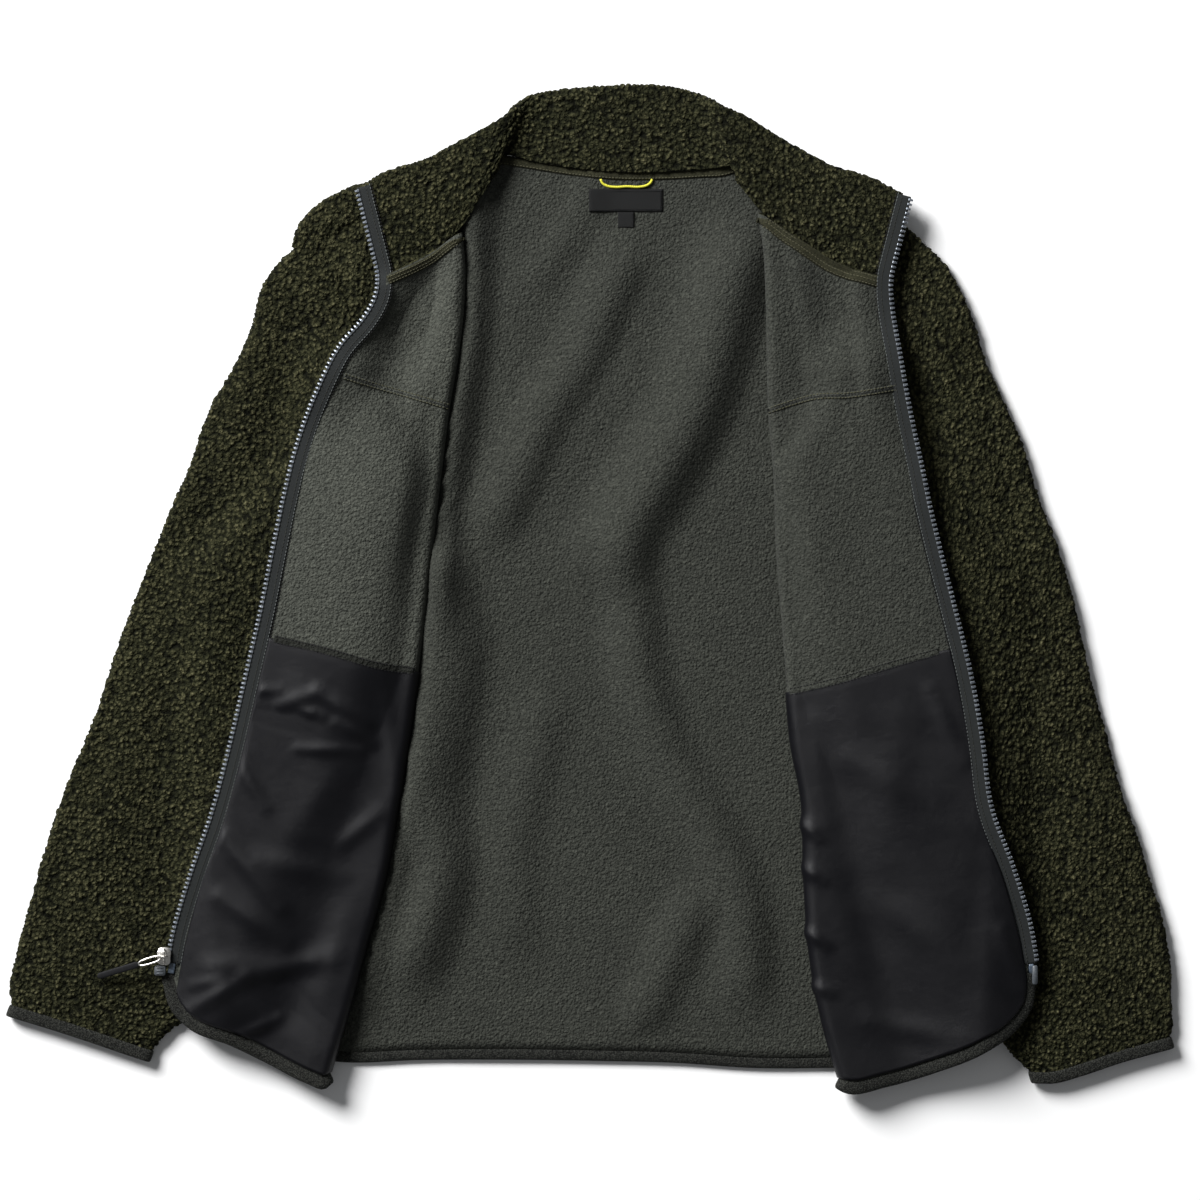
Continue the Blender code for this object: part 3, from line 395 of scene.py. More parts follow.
# ---- heights of what lies on what ---------------------------------------------------------
class Side:
    """One side of the jacket: its tables, and the heights of the layers there."""

    def __init__(self, name, out, tables):
        self.name, self.out = name, out
        vars(self).update(tables)
        self.fold, self.zip = ([r[k:k + 2] for r in self.front] for k in (0, 2))

    def beyond(self, line, x, y):
        """How far x lies beyond a line running down the jacket, away from the middle."""
        p = curve(line, spread(60))
        order = np.argsort(p[:, 1])
        return self.out * (x - np.interp(y, p[order, 1], p[order, 0]))

    def lift(self, x, y):
        """How far the body under the sleeve raises it."""
        raised = step(1 - (self.beyond(self.side, x, y) - 18) / 60) * step((y - 312) / 66)
        return (UNDER_TOP + GAP) * raised

    def rest(self, x, y):
        """Top of what a turned-back front lies on."""
        line = self.sleeve["head"] + self.sleeve["inner"][1:-2]
        eased = 56 + 50 * step((y - 540) / 140)
        over_sleeve = step(1 + (self.beyond(line, x, y) + 6) / eased)
        return UNDER_TOP + (self.lift(x, y) + SLEEVE + 1.6 - UNDER_TOP) * over_sleeve

    def over(self, x, y, from_fold):
        """Middle of a turned-back front, from_fold plan units from where its roll ends."""
        low = self.rest(x, y) + 0.6 + CLOTH / 2
        high = UNDER + ROLL
        near = 1 - step(from_fold / 70)
        z = low + (high - low) * near * (high > low) + 1.4 * step(from_fold / 60)
        z = np.maximum(z + ridges(x, y, self.folds), low)
        more = ridges(x, y, self.creases) + slopes(x, y, self.slopes)
        return np.maximum(z + more * step(from_fold / 30), low - 1.2)


LEFT, RIGHT = Side("left", -1, LEFT_TABLES), Side("right", 1, RIGHT_TABLES)


def hem_line(side, inset):
    return offset(curve(side.hem, spread(60)), side.out * inset)


def turned_lines(side, rows):
    """Plan lines of a front's rows from the fold to the cloth's zip edge."""
    bottom = hem_line(side, BINDING_WIDTH + 0.6)
    edge = offset(curve(side.zip, rows), -side.out * EDGE_IN)
    fold = curve(side.fold, rows)
    top = curve(side.seam, spread(len(bottom)))
    down = rows[:, None]
    edge = edge + down**6 * (bottom[-1] - edge[-1]) + (1 - down) ** 9 * (top[-1] - edge[0])
    fold = fold + down**6 * (bottom[0] - fold[-1])
    return coons(top, bottom, fold, edge, rows)


def turned_row(side, line, columns):
    """Roll and upper layer of one row of a front; line runs from its fold to its zip edge."""
    start, a = at(line, ROLL_IN), np.radians(ANGLES)
    roll = placed(start + unit(line[0] - start) * (ROLL / 2 / UNIT) * np.cos(a)[:, None],
                  UNDER + ROLL / 2 + ROLL / 2 * np.sin(a))
    far = np.linspace(ROLL_IN, arc(line)[-1], columns)
    p = at(line, far)
    return np.r_[roll, placed(p, side.over(p[:, 0], p[:, 1], far - ROLL_IN))], start


def front_grid(side):
    """Middle of a front: its lower layer, and its roll and turned layer, from neck to hem."""
    under = 34
    turned = [turned_row(side, line, 44) for line in turned_lines(side, spread(175))]
    inner = np.r_[curve(side.neck, spread(NECK_ROWS + 1))[:-1], [start for _, start in turned]]
    outer = curve(side.side, spread(len(inner)))
    top = curve(side.shoulder, spread(under))
    bottom = curve([inner[-1], outer[-1]], spread(under))
    top[0], top[-1] = inner[0], outer[0]
    lower = placed(coons(top, bottom, inner, outer)[:, ::-1], UNDER)
    return lower, np.array([row for row, _ in turned])


# ---- meshes -------------------------------------------------------------------------------
def facing(grid):
    """Unit normals of a grid of points."""
    return unit(np.cross(np.gradient(grid, axis=1), np.gradient(grid, axis=0)))


def outward(grid):
    """Unit normals of a front's inside face, up on its turned layer."""
    n = facing(grid)
    return n * np.sign(n[len(n) // 2, -5, 2])


def sample(grid, r, c):
    """Points of a grid at fractional rows and columns."""
    i = np.clip(np.floor(r).astype(int), 0, grid.shape[0] - 2)
    j = np.clip(np.floor(c).astype(int), 0, grid.shape[1] - 2)
    s, t = (r - i)[..., None], (c - j)[..., None]
    return ((grid[i, j] * (1 - t) + grid[i, j + 1] * t) * (1 - s)
            + (grid[i + 1, j] * (1 - t) + grid[i + 1, j + 1] * t) * s)


def numbered(grid, first=0):
    """Numbers of a grid's points, counted from first."""
    return first + np.arange(grid.shape[0] * grid.shape[1]).reshape(grid.shape[:2])


def quads(index, wrap=False):
    """Faces between numbered points; a quad with a number below 0 is left out."""
    if wrap:
        index = np.c_[index, index[:, :1]]
    q = np.stack([index[:-1, :-1], index[:-1, 1:], index[1:, 1:], index[1:, :-1]], axis=-1)
    q = q.reshape(-1, 4)
    return q[(q >= 0).all(axis=1)].tolist()


def loft(grid, closed=False):
    """Faces of a tube through a grid's rings, capped at both ends or closed on itself."""
    index = numbered(grid)
    if closed:
        return quads(np.r_[index, index[:1]], True)
    return quads(index, True) + [index[0].tolist()[::-1], index[-1].tolist()]


def backwards(faces):
    return [q[::-1] for q in faces]


def piece(name, points, faces, finish, nodes=(), pile=None, flat_from=None, body="jacket"):
    """A mesh from points in mm, on its body, in place of the nodes, smooth up to flat_from."""
    mesh = bpy.data.meshes.new(name)
    points = np.asarray(points, float).reshape(-1, 3)
    mesh.from_pydata((points / 1000).tolist(), [], faces)
    smooth = np.arange(len(faces)) < (len(faces) if flat_from is None else flat_from)
    mesh.polygons.foreach_set("use_smooth", smooth)
    if pile is not None:
        a = mesh.attributes.new("pile", "FLOAT", "POINT")
        a.data.foreach_set("value", np.asarray(pile, np.float32).ravel())
    mesh.update()
    o = bpy.data.objects.new(name, mesh)
    bpy.context.scene.collection.objects.link(o)
    mesh.materials.append(finish_of(finish))
    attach(o, body)
    if nodes:
        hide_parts(*nodes)
    return o


def shell(name, top, low, k, finish, pile=None, wrap=False, **rest):
    """A closed sheet from a fine face and one k times coarser, joined round their rims.

    top must face outwards as quads() winds it; low lies behind it. With wrap the columns run
    round a tube, which stays open at both ends.
    """
    a = numbered(top)
    b = numbered(low, a.size)
    faces = quads(a, wrap) + backwards(quads(b, wrap))
    smooth = len(faces)
    if wrap:
        a, b = (np.c_[g, g[:, :1]] for g in (a, b))
    rims = [(a[0], b[0]), (a[-1, ::-1], b[-1, ::-1])]
    if not wrap:
        rims += [(a[::-1, 0], b[::-1, 0]), (a[:, -1], b[:, -1])]
    for fine, coarse in rims:
        for i in range(len(coarse) - 1):
            faces.append(fine[i * k:i * k + k + 1][::-1].tolist() + coarse[i:i + 2].tolist())
    if pile is not None:
        pile = np.r_[np.ravel(pile), np.full(low[..., 0].size, 0.5)]
    return piece(name, np.r_[top.reshape(-1, 3), low.reshape(-1, 3)], faces, finish, pile=pile,
                 flat_from=smooth, **rest)


class Ground:
    """A grid's faces, which sewing is dropped on."""

    def __init__(self, grid):
        self.tree = BVHTree.FromPolygons(grid.reshape(-1, 3).tolist(), quads(numbered(grid)))

    def drop(self, plan, above=0.0):
        """Row points in mm over plan points, above the surface, with its normals."""
        out, up = placed(plan, 0.0), np.zeros((len(plan), 3))
        last = None
        for i, p in enumerate(out):
            hit, n, _, _ = self.tree.ray_cast(Vector((p[0], p[1], 90.0)), Vector((0, 0, -1)))
            if hit is None:
                near, n, _, _ = self.tree.find_nearest(Vector((p[0], p[1], 20.0)))
                hit = near if last is None else last
            last = hit
            out[i, 2], up[i] = hit.z, n if n.z > 0 else -n
        return out + up * above, up


def band(name, a, b, thick, nodes, closed=False):
    """A rounded strip of binding between two lines of points, swept with an oval section."""
    mid, half, around = (a + b) / 2, (b - a) / 2, 14
    along = np.gradient(mid, axis=0)
    if closed:
        along = np.roll(mid, -1, axis=0) - np.roll(mid, 1, axis=0)
    up = unit(np.cross(along, half))
    t = 2 * math.pi * np.arange(around) / around
    c = np.sign(np.cos(t)) * np.abs(np.cos(t)) ** 0.6
    s = np.sign(np.sin(t)) * np.abs(np.sin(t)) ** 0.75
    grid = mid[:, None] + half[:, None] * c[None, :, None] + up[:, None] * (
        thick / 2 * s[None, :, None])
    faces = loft(grid, closed)
    return piece(name, grid, faces, "binding", nodes=nodes,
                 flat_from=len(faces) - (0 if closed else 2))


def strip(name, plan, width, thick, ground, finish, nodes, above=0.0, ends=1.0):
    """A flat tape along a plan line, dropped on the ground; `ends` is its width at the start."""
    share = ends + (1 - ends) * step(np.arange(len(plan)) / 9)[:, None]
    sides = [plan + (offset(plan, d) - plan) * share
             for d in np.linspace(-width / 2, width / 2, 5)]
    grid = np.stack([ground.drop(line, above + thick)[0] for line in sides], axis=1)
    grid[..., 2] -= (1 - share) * thick
    n = facing(grid)
    n *= np.sign(n[..., 2:])
    edge = (thick * 0.45 * np.array([1, 0, 0, 0, 1]))[None, :, None]
    grid = grid - n * edge
    if facing(grid)[..., 2].mean() < 0:
        grid, n = grid[:, ::-1], n[:, ::-1]
    return shell(name, grid, grid - n * (thick - edge), 1, finish, nodes=nodes)


def swept(line, a, b, radius, around, closed=False):
    """A round tube along points, in the plane of directions a and b at each."""
    t = 2 * math.pi * np.arange(around) / around
    grid = line[:, None] + radius * (a[:, None] * np.cos(t)[None, :, None]
                                     + b[:, None] * np.sin(t)[None, :, None])
    return grid.reshape(-1, 3), loft(grid, closed)


def tube(line, radius, around=8, closed=False):
    """Points and faces of a round tube along points in mm."""
    way = np.gradient(line, axis=0)
    if closed:
        way = np.roll(line, -1, axis=0) - np.roll(line, 1, axis=0)
    side = unit(np.cross(unit(way), (0.0, 0.0, 1.0)))
    points, faces = swept(line, side, np.cross(side, unit(way)), radius, around, closed)
    return points, backwards(faces)


def many(points, faces, middles, axes):
    """Copies of a small mesh at middles, each with three axes for its x, y and z."""
    out = middles[:, None] + np.einsum("pk,nkj->npj", np.asarray(points, float), axes)
    count = len(points)
    return out.reshape(-1, 3), [[i * count + v for v in f]
                                for i in range(len(middles)) for f in faces]


def joined(*parts):
    """Several pairs of points and faces as one pair."""
    points, faces = np.empty((0, 3)), []
    for p, f in parts:
        faces += [[len(points) + v for v in q] for q in f]
        points = np.r_[points, p]
    return points, faces


def capsule(long, wide, high, around=6):
    """A stitch lying along x: a closed rounded rod."""
    points, faces = [(-long / 2, 0, 0)], []
    for x, r in ((-0.44, 0.6), (-0.2, 1.0), (0.2, 1.0), (0.44, 0.6)):
        for j in range(around):
            t = 2 * math.pi * j / around
            points.append((x * long, r * wide / 2 * math.cos(t), r * high / 2 * math.sin(t)))
    points.append((long / 2, 0, 0))
    end = len(points) - 1
    for j in range(around):
        k = (j + 1) % around
        faces += [[0, 1 + k, 1 + j], [end, 1 + 3 * around + j, 1 + 3 * around + k]]
        for r in range(3):
            p = 1 + r * around
            faces.append([p + j, p + k, p + around + k, p + around + j])
    return points, faces


def stitches(name, lines, ground, thread, node, pitch=2.6, long=2.1, wide=0.75, above=0.1,
             high=0.6):
    """Rows of thread stitches along plan lines (or lines of points in mm), as one mesh."""
    middles, axes = [], []
    for line in lines:
        if line.shape[1] == 2:
            line = even(line, pitch / UNIT)
            points, up = ground.drop((line[1:] + line[:-1]) / 2, above)
        else:
            points = even(line, pitch)
            up = np.tile((0.0, 0.0, 1.0), (len(points), 1))
        way = unit(np.gradient(points, axis=0))
        side = np.cross(up, way)
        middles.append(points)
        axes.append(np.stack([way, side, np.cross(way, side)], axis=1))
    mesh = many(*capsule(long, wide, high), np.concatenate(middles), np.concatenate(axes))
    return piece(name, *mesh, thread, nodes=[node])


# ---- materials ----------------------------------------------------------------------------
def srgb(r, g, b):
    return tuple((c / 255 / 12.92 if c / 255 <= 0.04045 else ((c / 255 + 0.055) / 1.055) ** 2.4)
                 for c in (r, g, b))


class Surface:
    """A principled material and short calls for its texture nodes, with sizes in mm."""

    def __init__(self, name, rough, **sockets):
        self.material = bpy.data.materials.new(name)
        self.material.use_nodes = True
        self.tree = self.material.node_tree
        self.shader = self.tree.nodes["Principled BSDF"]
        for socket, value in {"Roughness": rough, **sockets}.items():
            self.shader.inputs[socket.replace("_", " ")].default_value = value
        place = self.node("ShaderNodeTexCoord").outputs["Object"]
        self.mm = self.node("ShaderNodeVectorMath", {0: place}, operation="SCALE",
                            Scale=1000).outputs[0]

    def node(self, kind, links=(), **values):
        n = self.tree.nodes.new(kind)
        for key, value in values.items():
            if hasattr(n, key):
                setattr(n, key, value)
            else:
                n.inputs[key].default_value = value
        for socket, source in dict(links).items():
            self.put(n.inputs[socket], source)
        return n

    def put(self, socket, value):
        """Gives an input a number, a colour, a vector or another node's output."""
        if isinstance(value, bpy.types.NodeSocket):
            self.tree.links.new(value, socket)
        elif isinstance(value, tuple) and socket.type == "RGBA":
            socket.default_value = (*value, 1)
        else:
            socket.default_value = value

    def noise(self, size, detail=2.0, rough=0.55, distort=0.0):
        return self.node("ShaderNodeTexNoise", {"Vector": self.mm}, Scale=1 / size,
                         Detail=detail, Roughness=rough, Distortion=distort).outputs[0]

    def cells(self, size, place=None):
        return self.node("ShaderNodeTexVoronoi", {"Vector": place or self.mm},
                         Scale=1 / size).outputs["Distance"]

    def domes(self, size, bend, by):
        """Rounded cells, with their places bent by a noise of size `bend`."""
        noise = self.node("ShaderNodeTexNoise", {"Vector": self.mm}, Scale=1 / bend, Detail=1.0)
        place = self.node("ShaderNodeVectorMath", {
            0: noise.outputs["Color"], 1: (by, by, by), 2: self.mm}, operation="MULTIPLY_ADD")
        return self.math("SUBTRACT", 1.0, self.cells(size, place.outputs[0]))

    def bars(self, size, direction, distort):
        return self.node("ShaderNodeTexWave", {"Vector": self.mm}, Scale=0.314159 / size,
                         Distortion=distort, bands_direction=direction).outputs["Fac"]

    def weave(self, x, y, bend_x, bend_y):
        return self.math("MULTIPLY", self.bars(x, "X", bend_x), self.bars(y, "Y", bend_y))

    def math(self, operation, a, b):
        return self.node("ShaderNodeMath", {0: a, 1: b}, operation=operation).outputs[0]

    def ramp(self, source, *stops):
        n = self.node("ShaderNodeValToRGB", {0: source})
        e = n.color_ramp.elements
        while len(e) < len(stops):
            e.new(0.5)
        for element, (where, colour) in zip(e, stops):
            element.position = where
            element.color = (*colour, 1) if isinstance(colour, tuple) else (colour,) * 3 + (1,)
        return n.outputs[0]

    def mix(self, share, a, b, blend="MIX"):
        n = self.node("ShaderNodeMix", data_type="RGBA", blend_type=blend)
        for socket, value in ((0, share), (6, a), (7, b)):
            self.put(n.inputs[socket], value)
        return n.outputs[2]

    def done(self, colour, *heights, rough=None):
        """Colour, bump from (height, depth in mm) pairs on top of each other, and roughness."""
        self.put(self.shader.inputs["Base Color"], colour)
        if rough is not None:
            self.put(self.shader.inputs["Roughness"], rough)
        normal = {}
        for height, depth in heights:
            n = self.node("ShaderNodeBump", {"Height": height, **normal}, Distance=depth / 1000,
                          Strength=1.0)
            normal = {"Normal": n.outputs[0]}
        self.put(self.shader.inputs["Normal"], n.outputs[0])
        return self.material


def pile_finish():
    s = Surface("fleece_pile", 1.0, Specular_IOR_Level=0.08)
    dome = s.domes(3.5, 3.0, 3.4)
    hair = s.noise(0.9, 3.0, 0.6, 1.0)
    depth = s.node("ShaderNodeAttribute", attribute_name="pile").outputs["Fac"]
    # Colour by clump height: darker down in the crevices between clumps and lighter towards their
    # tops, painted shade.
    height = s.math("MULTIPLY", s.math("ADD", 0.3, s.math("MULTIPLY", depth, 0.7)), dome)
    tone = s.ramp(height, (0.08, srgb(13, 14, 8)), (0.26, srgb(37, 38, 24)),
                  (0.5, srgb(66, 65, 45)), (0.85, srgb(95, 92, 67)))
    drift = s.ramp(s.noise(38, 3.0), (0.3, 0.82), (0.7, 1.0))
    return s.done(s.mix(1.0, tone, drift, "MULTIPLY"), (dome, 3.2), (hair, 0.3))


def fleece_finish(name, share):
    """Lining side; `share` darkens each panel's copy of it, as painted shade."""
    def shaded_colour(*colour):
        return tuple(share * c for c in srgb(*colour))

    s = Surface(name, 0.95, Sheen_Weight=0.03, Sheen_Roughness=0.5, Specular_IOR_Level=0.12)
    nubs = s.domes(2.3, 2.2, 2.4)
    fluff = s.noise(2.5, 3.0, 0.62, 1.0)
    tone = s.ramp(fluff, (0.3, shaded_colour(50, 52, 47)), (0.52, shaded_colour(69, 71, 65)),
                  (0.75, shaded_colour(88, 90, 82)))
    drift = s.ramp(s.noise(60), (0.3, 0.9), (0.7, 1.0))
    return s.done(s.mix(1.0, tone, drift, "MULTIPLY"), (nubs, 1.3), (fluff, 1.0),
                  (s.noise(0.8), 0.25))


def knit_finish():
    s = Surface("pocket_knit", 0.42, Specular_IOR_Level=0.22)
    weave = s.weave(0.55, 0.8, 0.3, 0.2)
    tone = s.ramp(weave, (0.0, srgb(6, 6, 9)), (1.0, srgb(15, 15, 19)))
    return s.done(s.mix(s.noise(45), tone, srgb(10, 10, 14)), (s.noise(9), 0.25), (weave, 0.10),
                  rough=s.ramp(s.noise(30, 3.0), (0.3, 0.36), (0.7, 0.5)))


def binding_finish():
    s = Surface("binding_knit", 0.85, Specular_IOR_Level=0.15)
    loops = s.cells(1.2)
    tone = s.ramp(loops, (0.0, srgb(66, 67, 62)), (0.7, srgb(24, 25, 23)))
    heather = s.ramp(s.noise(2.2, 3.0, 0.65), (0.35, 0.62), (0.68, 1.0))
    return s.done(s.mix(1.0, tone, heather, "MULTIPLY"), (s.bars(1.3, "DIAGONAL", 0.6), 0.3),
                  (loops, -0.45))


def zip_tape_finish():
    s = Surface("zip_tape", 0.75, Specular_IOR_Level=0.2)
    weave = s.weave(0.42, 0.42, 0.2, 0.2)
    tone = s.ramp(weave, (0.0, srgb(27, 29, 29)), (1.0, srgb(54, 56, 56)))
    return s.done(s.mix(s.noise(5, 3.0), tone, srgb(38, 41, 41)), (weave, 0.18),
                  (s.noise(0.5), 0.1))


def neck_tape_finish():
    s = Surface("neck_tape", 0.85, Specular_IOR_Level=0.15)
    weave = s.noise(1.5, 3.0, 0.65, 0.6)
    return s.done(s.ramp(weave, (0.3, srgb(26, 27, 18)), (0.7, srgb(62, 61, 44))), (weave, 0.7),
                  (s.bars(0.6, "DIAGONAL", 0.4), 0.2))


def thread_finish(name, dark, light):
    s = Surface(name, 0.65, Specular_IOR_Level=0.25)
    return s.done(s.ramp(s.noise(0.7), (0.3, srgb(*dark)), (0.7, srgb(*light))),
                  (s.bars(0.3, "DIAGONAL", 0.5), 0.12))


def metal_finish(name, dark, light, rough):
    s = Surface(name, rough, Metallic=1.0)
    return s.done(s.ramp(s.noise(2.2, 4.0, 0.6), (0.3, dark), (0.7, light)),
                  (s.noise(0.35), 0.02),
                  rough=s.ramp(s.noise(1.1, 3.0), (0.3, rough), (0.75, rough + 0.18)))


def plastic_finish(name, dark, light, rough, shine=0.5):
    s = Surface(name, rough, Specular_IOR_Level=shine)
    return s.done(s.ramp(s.noise(1.6, 3.0), (0.3, srgb(*dark)), (0.7, srgb(*light))),
                  (s.noise(0.3), 0.03),
                  rough=s.ramp(s.noise(1.2), (0.3, rough), (0.7, rough + 0.12)))


def label_finish():
    s = Surface("woven_label", 0.62, Specular_IOR_Level=0.2)
    weave = s.weave(0.3, 0.3, 0.1, 0.1)
    return s.done(s.ramp(weave, (0.0, srgb(12, 13, 13)), (1.0, srgb(25, 26, 26))), (weave, 0.12))


def cord_finish():
    s = Surface("loop_cord", 0.55)
    braid = s.bars(0.7, "DIAGONAL", 0.2)
    return s.done(s.ramp(braid, (0.0, srgb(176, 172, 30)), (1.0, srgb(236, 232, 74))),
                  (braid, 0.2))


def floor_finish():
    s = Surface("studio_floor", 0.9, Specular_IOR_Level=0.1)
    s.put(s.shader.inputs["Base Color"], s.ramp(
        s.noise(400, 1.0), (0.0, srgb(244, 244, 244)), (1.0, srgb(247, 247, 247))))
    return s.material


# what makes each finish, and what it is given
FINISHES = {
    "pile": (pile_finish,), "knit": (knit_finish,), "binding": (binding_finish,),
    # The lining's copies are darkened by their second number as painted shade: the back and the
    # right front darker than the left front, and the bag seam tapes darker still, the left tape
    # more than the right.
    "fleece": (fleece_finish, "fleece_back", 0.65),
    "fleece_left": (fleece_finish, "fleece_left", 0.95),
    "fleece_right": (fleece_finish, "fleece_right", 0.66),
    "bag_tape_left": (fleece_finish, "bag_tape_30", 0.3),
    "bag_tape_right": (fleece_finish, "bag_tape_60", 0.6),
    "zip_tape": (zip_tape_finish,), "neck_tape": (neck_tape_finish,),
    "thread": (thread_finish, "sewing_thread", (30, 31, 28), (50, 51, 46)),
    "olive_thread": (thread_finish, "olive_thread", (62, 62, 48), (92, 90, 70)),
    "dark_thread": (thread_finish, "dark_thread", (10, 10, 11), (26, 26, 28)),
    "tape_thread": (thread_finish, "tape_thread", (62, 66, 66), (104, 108, 106)),
    "metal": (metal_finish, "nickel", (0.60, 0.58, 0.54), (0.80, 0.78, 0.74), 0.26),
    "teeth": (metal_finish, "tooth_metal", (0.17, 0.19, 0.22), (0.36, 0.39, 0.43), 0.38),
    "plastic": (plastic_finish, "box_plastic", (58, 62, 66), (78, 83, 88), 0.38),
    "film": (plastic_finish, "zip_film", (74, 84, 96), (96, 108, 122), 0.32),
    "strap": (plastic_finish, "strap_rubber", (5, 5, 7), (16, 16, 19), 0.62, 0.2),
    "label": (label_finish,), "cord": (cord_finish,), "floor": (floor_finish,),
}
made = {}


def finish_of(name):
    if name not in made:
        make, *given = FINISHES[name]
        made[name] = make(*given)
    return made[name]


# ---- camera, floor and light --------------------------------------------------------------
def studio():
    scene = bpy.context.scene

    def added(name, data, where):
        o = bpy.data.objects.new(name, data)
        scene.collection.objects.link(o)
        o.location = where
        return o

    lens, wide = 200.0, 36.0  # mm; the picture's 1200 pixels are 1200 plan units
    camera = bpy.data.cameras.new("camera")
    camera.lens, camera.sensor_width, camera.clip_start, camera.clip_end = lens, wide, 0.5, 30.0
    x, y, _ = placed((600, 600), 0) / 1000
    scene.camera = added("camera", camera, (x, y, 0.014 + lens / wide * 1200 * UNIT / 1000))
    scene.view_settings.view_transform = "Standard"

    mesh = bpy.data.meshes.new("floor")
    r = 6.0
    mesh.from_pydata([(-r, -r, 0), (r, -r, 0), (r, r, 0), (-r, r, 0)], [], [[0, 1, 2, 3]])
    mesh.materials.append(finish_of("floor"))
    added("floor", mesh, (0, 0, -0.0004))

    scene.world = bpy.data.worlds.new("studio")
    scene.world.use_nodes = True
    sky = scene.world.node_tree.nodes["Background"].inputs
    sky[0].default_value, sky[1].default_value = (0.96, 0.98, 1.0, 1), 0.16
    key = bpy.data.lights.new("key", "AREA")
    key.shape, key.size, key.energy = "DISK", 3.2, 900.0
    where = Vector((-3.7, 3.7, 3.4))
    added("key", key, where).rotation_euler = (-where).to_track_quat("-Z", "Y").to_euler()


# ---- cloth --------------------------------------------------------------------------------
def back():
    """Back panel and the ground that its inside makes."""
    rows, columns = 209, 169
    top = LEFT.shoulder[::-1] + BACK_NECK[1:-1] + RIGHT.shoulder
    plan = coons(curve(top, spread(columns)), curve(BACK_HEM, spread(columns)),
                 curve(LEFT.side, spread(rows)), curve(RIGHT.side, spread(rows)))
    x, y = plan[..., 0], plan[..., 1]
    left, right = (curve(side.fold, spread(60)) for side in (LEFT, RIGHT))
    beside = x - np.interp(y, left[:, 1], left[:, 0])
    # the creases that lie clear of the turned fronts and the hem
    free = (step((beside + 4) / 10) * step((np.interp(y, right[:, 1], right[:, 0]) - x + 16) / 26)
            * step((1046 - y) / 36))
    lee = (10.0 * step((beside + 5) / 9) * (1 - step((beside + 1) / 38))
           * step((y - 540) / 80) * step((1040 - y) / 90))
    middle = placed(plan, CLOTH / 2 + np.maximum(
        0.5 * ridges(x, y, FOLDS_BACK) + slopes(x, y, CREASES_BACK) * free + lee, 0))
    down = facing(middle)
    pile = clumps(middle, 20)
    outside = middle + down * (CLOTH / 2 - 1.0 + PILE * pile)[..., None]
    outside[..., 2] = np.maximum(outside[..., 2], LOWEST)
    inside = (middle - down * CLOTH / 2)[::2, ::2]
    o = shell("back_panel", outside, inside, 2, "pile", pile=pile, nodes=["back"])
    # The lining side takes the back's copy of the lining, darkened as painted shade.
    o.data.materials.append(finish_of("fleece"))
    for f in o.data.polygons:
        f.material_index = int(f.normal.z > 0.08)
    return o, Ground(inside[:, ::-1])


def front(side, lower, turned):
    """Panel of one front, and the inside face of its roll and turned layer as a grid."""
    under = lower.shape[1]
    index = np.full((lower.shape[0], under + turned.shape[1]), -1)
    index[:, :under] = numbered(lower)
    index[NECK_ROWS:, under:] = numbered(turned, lower[..., 0].size)
    points = np.r_[lower.reshape(-1, 3), turned.reshape(-1, 3)]
    faces = np.array(quads(index))
    a = np.cross(points[faces[:, 2]] - points[faces[:, 0]],
                 points[faces[:, 3]] - points[faces[:, 1]])
    n = np.zeros_like(points)
    for k in range(4):
        np.add.at(n, faces[:, k], a)
    n = unit(n)
    if n[index[-1, 0], 2] > 0:
        faces, n = faces[:, ::-1], -n
    lining = points + n * CLOTH / 2
    pile_side = points - n * (CLOTH / 2 - 0.7)
    count = len(points)
    pairs = dict.fromkeys(pair for q in faces.tolist() for pair in zip(q, q[1:] + q[:1]))
    walls = [[b, a, a + count, b + count] for a, b in pairs if (b, a) not in pairs]
    both = faces.tolist() + (faces[:, ::-1] + count).tolist()
    o = piece("front_panel_" + side.name, np.r_[lining, pile_side], both + walls, "pile",
              pile=np.full(2 * count, 0.5), flat_from=len(both), nodes=["front_" + side.name])
    # The lining side takes this side's copy of the lining, darkened by its share as painted shade.
    o.data.materials.append(finish_of("fleece_" + side.name))
    o.data.polygons.foreach_set("material_index", [
        int(i < len(faces)) for i in range(len(both) + len(walls))])
    return o, lining[index[NECK_ROWS:, under:]]


def yoke(side):
    """Pile of a front's lower layer, where it shows between sleeve and zip, over the shoulder."""
    columns = 120
    inner = np.r_[curve(side.neck, spread(NECK_ROWS + 1))[:-1],
                  [at(line, ROLL_IN) for line in turned_lines(side, spread(60))]]
    rows = np.linspace(0, 0.27, 150)
    left = at(inner, rows * arc(inner)[-1])
    right = curve(side.side, rows)
    right[:, 0] += side.out * 3.0 * step(rows / 0.03)
    top = curve(side.shoulder, spread(columns))
    top[0], top[-1] = left[0], right[0]
    bottom = curve([inner[-1], side.side[-1]], spread(columns))
    plan = coons(top, bottom, left, right, rows)
    out = offset(top, 1.0) - top
    out *= np.sign(-out[:, 1].mean())
    from_side = np.minimum(np.arange(columns), np.arange(columns)[::-1])
    grow = 4.6 * step(from_side / 14)[:, None]
    wrap = [placed(top + out * grow * math.sin(t), 5.6 + 3.9 * math.cos(t))
            for t in np.radians(np.linspace(95, 8, 7))]
    grid = np.r_[wrap, placed(plan, UNDER_TOP - 0.1)]
    n = facing(grid)
    if n[-1, columns // 2, 2] < 0:
        grid = grid[:, ::-1]
        n = facing(grid)
    pile = clumps(grid, 40)
    away = step(from_side / 2)[None] * step(np.arange(len(grid))[::-1] / 4)[:, None]
    uneven = 0.6 * waves(grid, 26.0, 9) + ridges(*plan_of(grid), side.grooves)
    grid = grid + n * ((PILE * (pile - 0.3) + uneven) * away - 0.8 * (1 - away))[..., None]
    grid[..., 2] = np.maximum(grid[..., 2], LOWEST)
    return piece("front_yoke_pile_" + side.name, grid, quads(numbered(grid)), "pile", pile=pile,
                 nodes=["front_" + side.name])


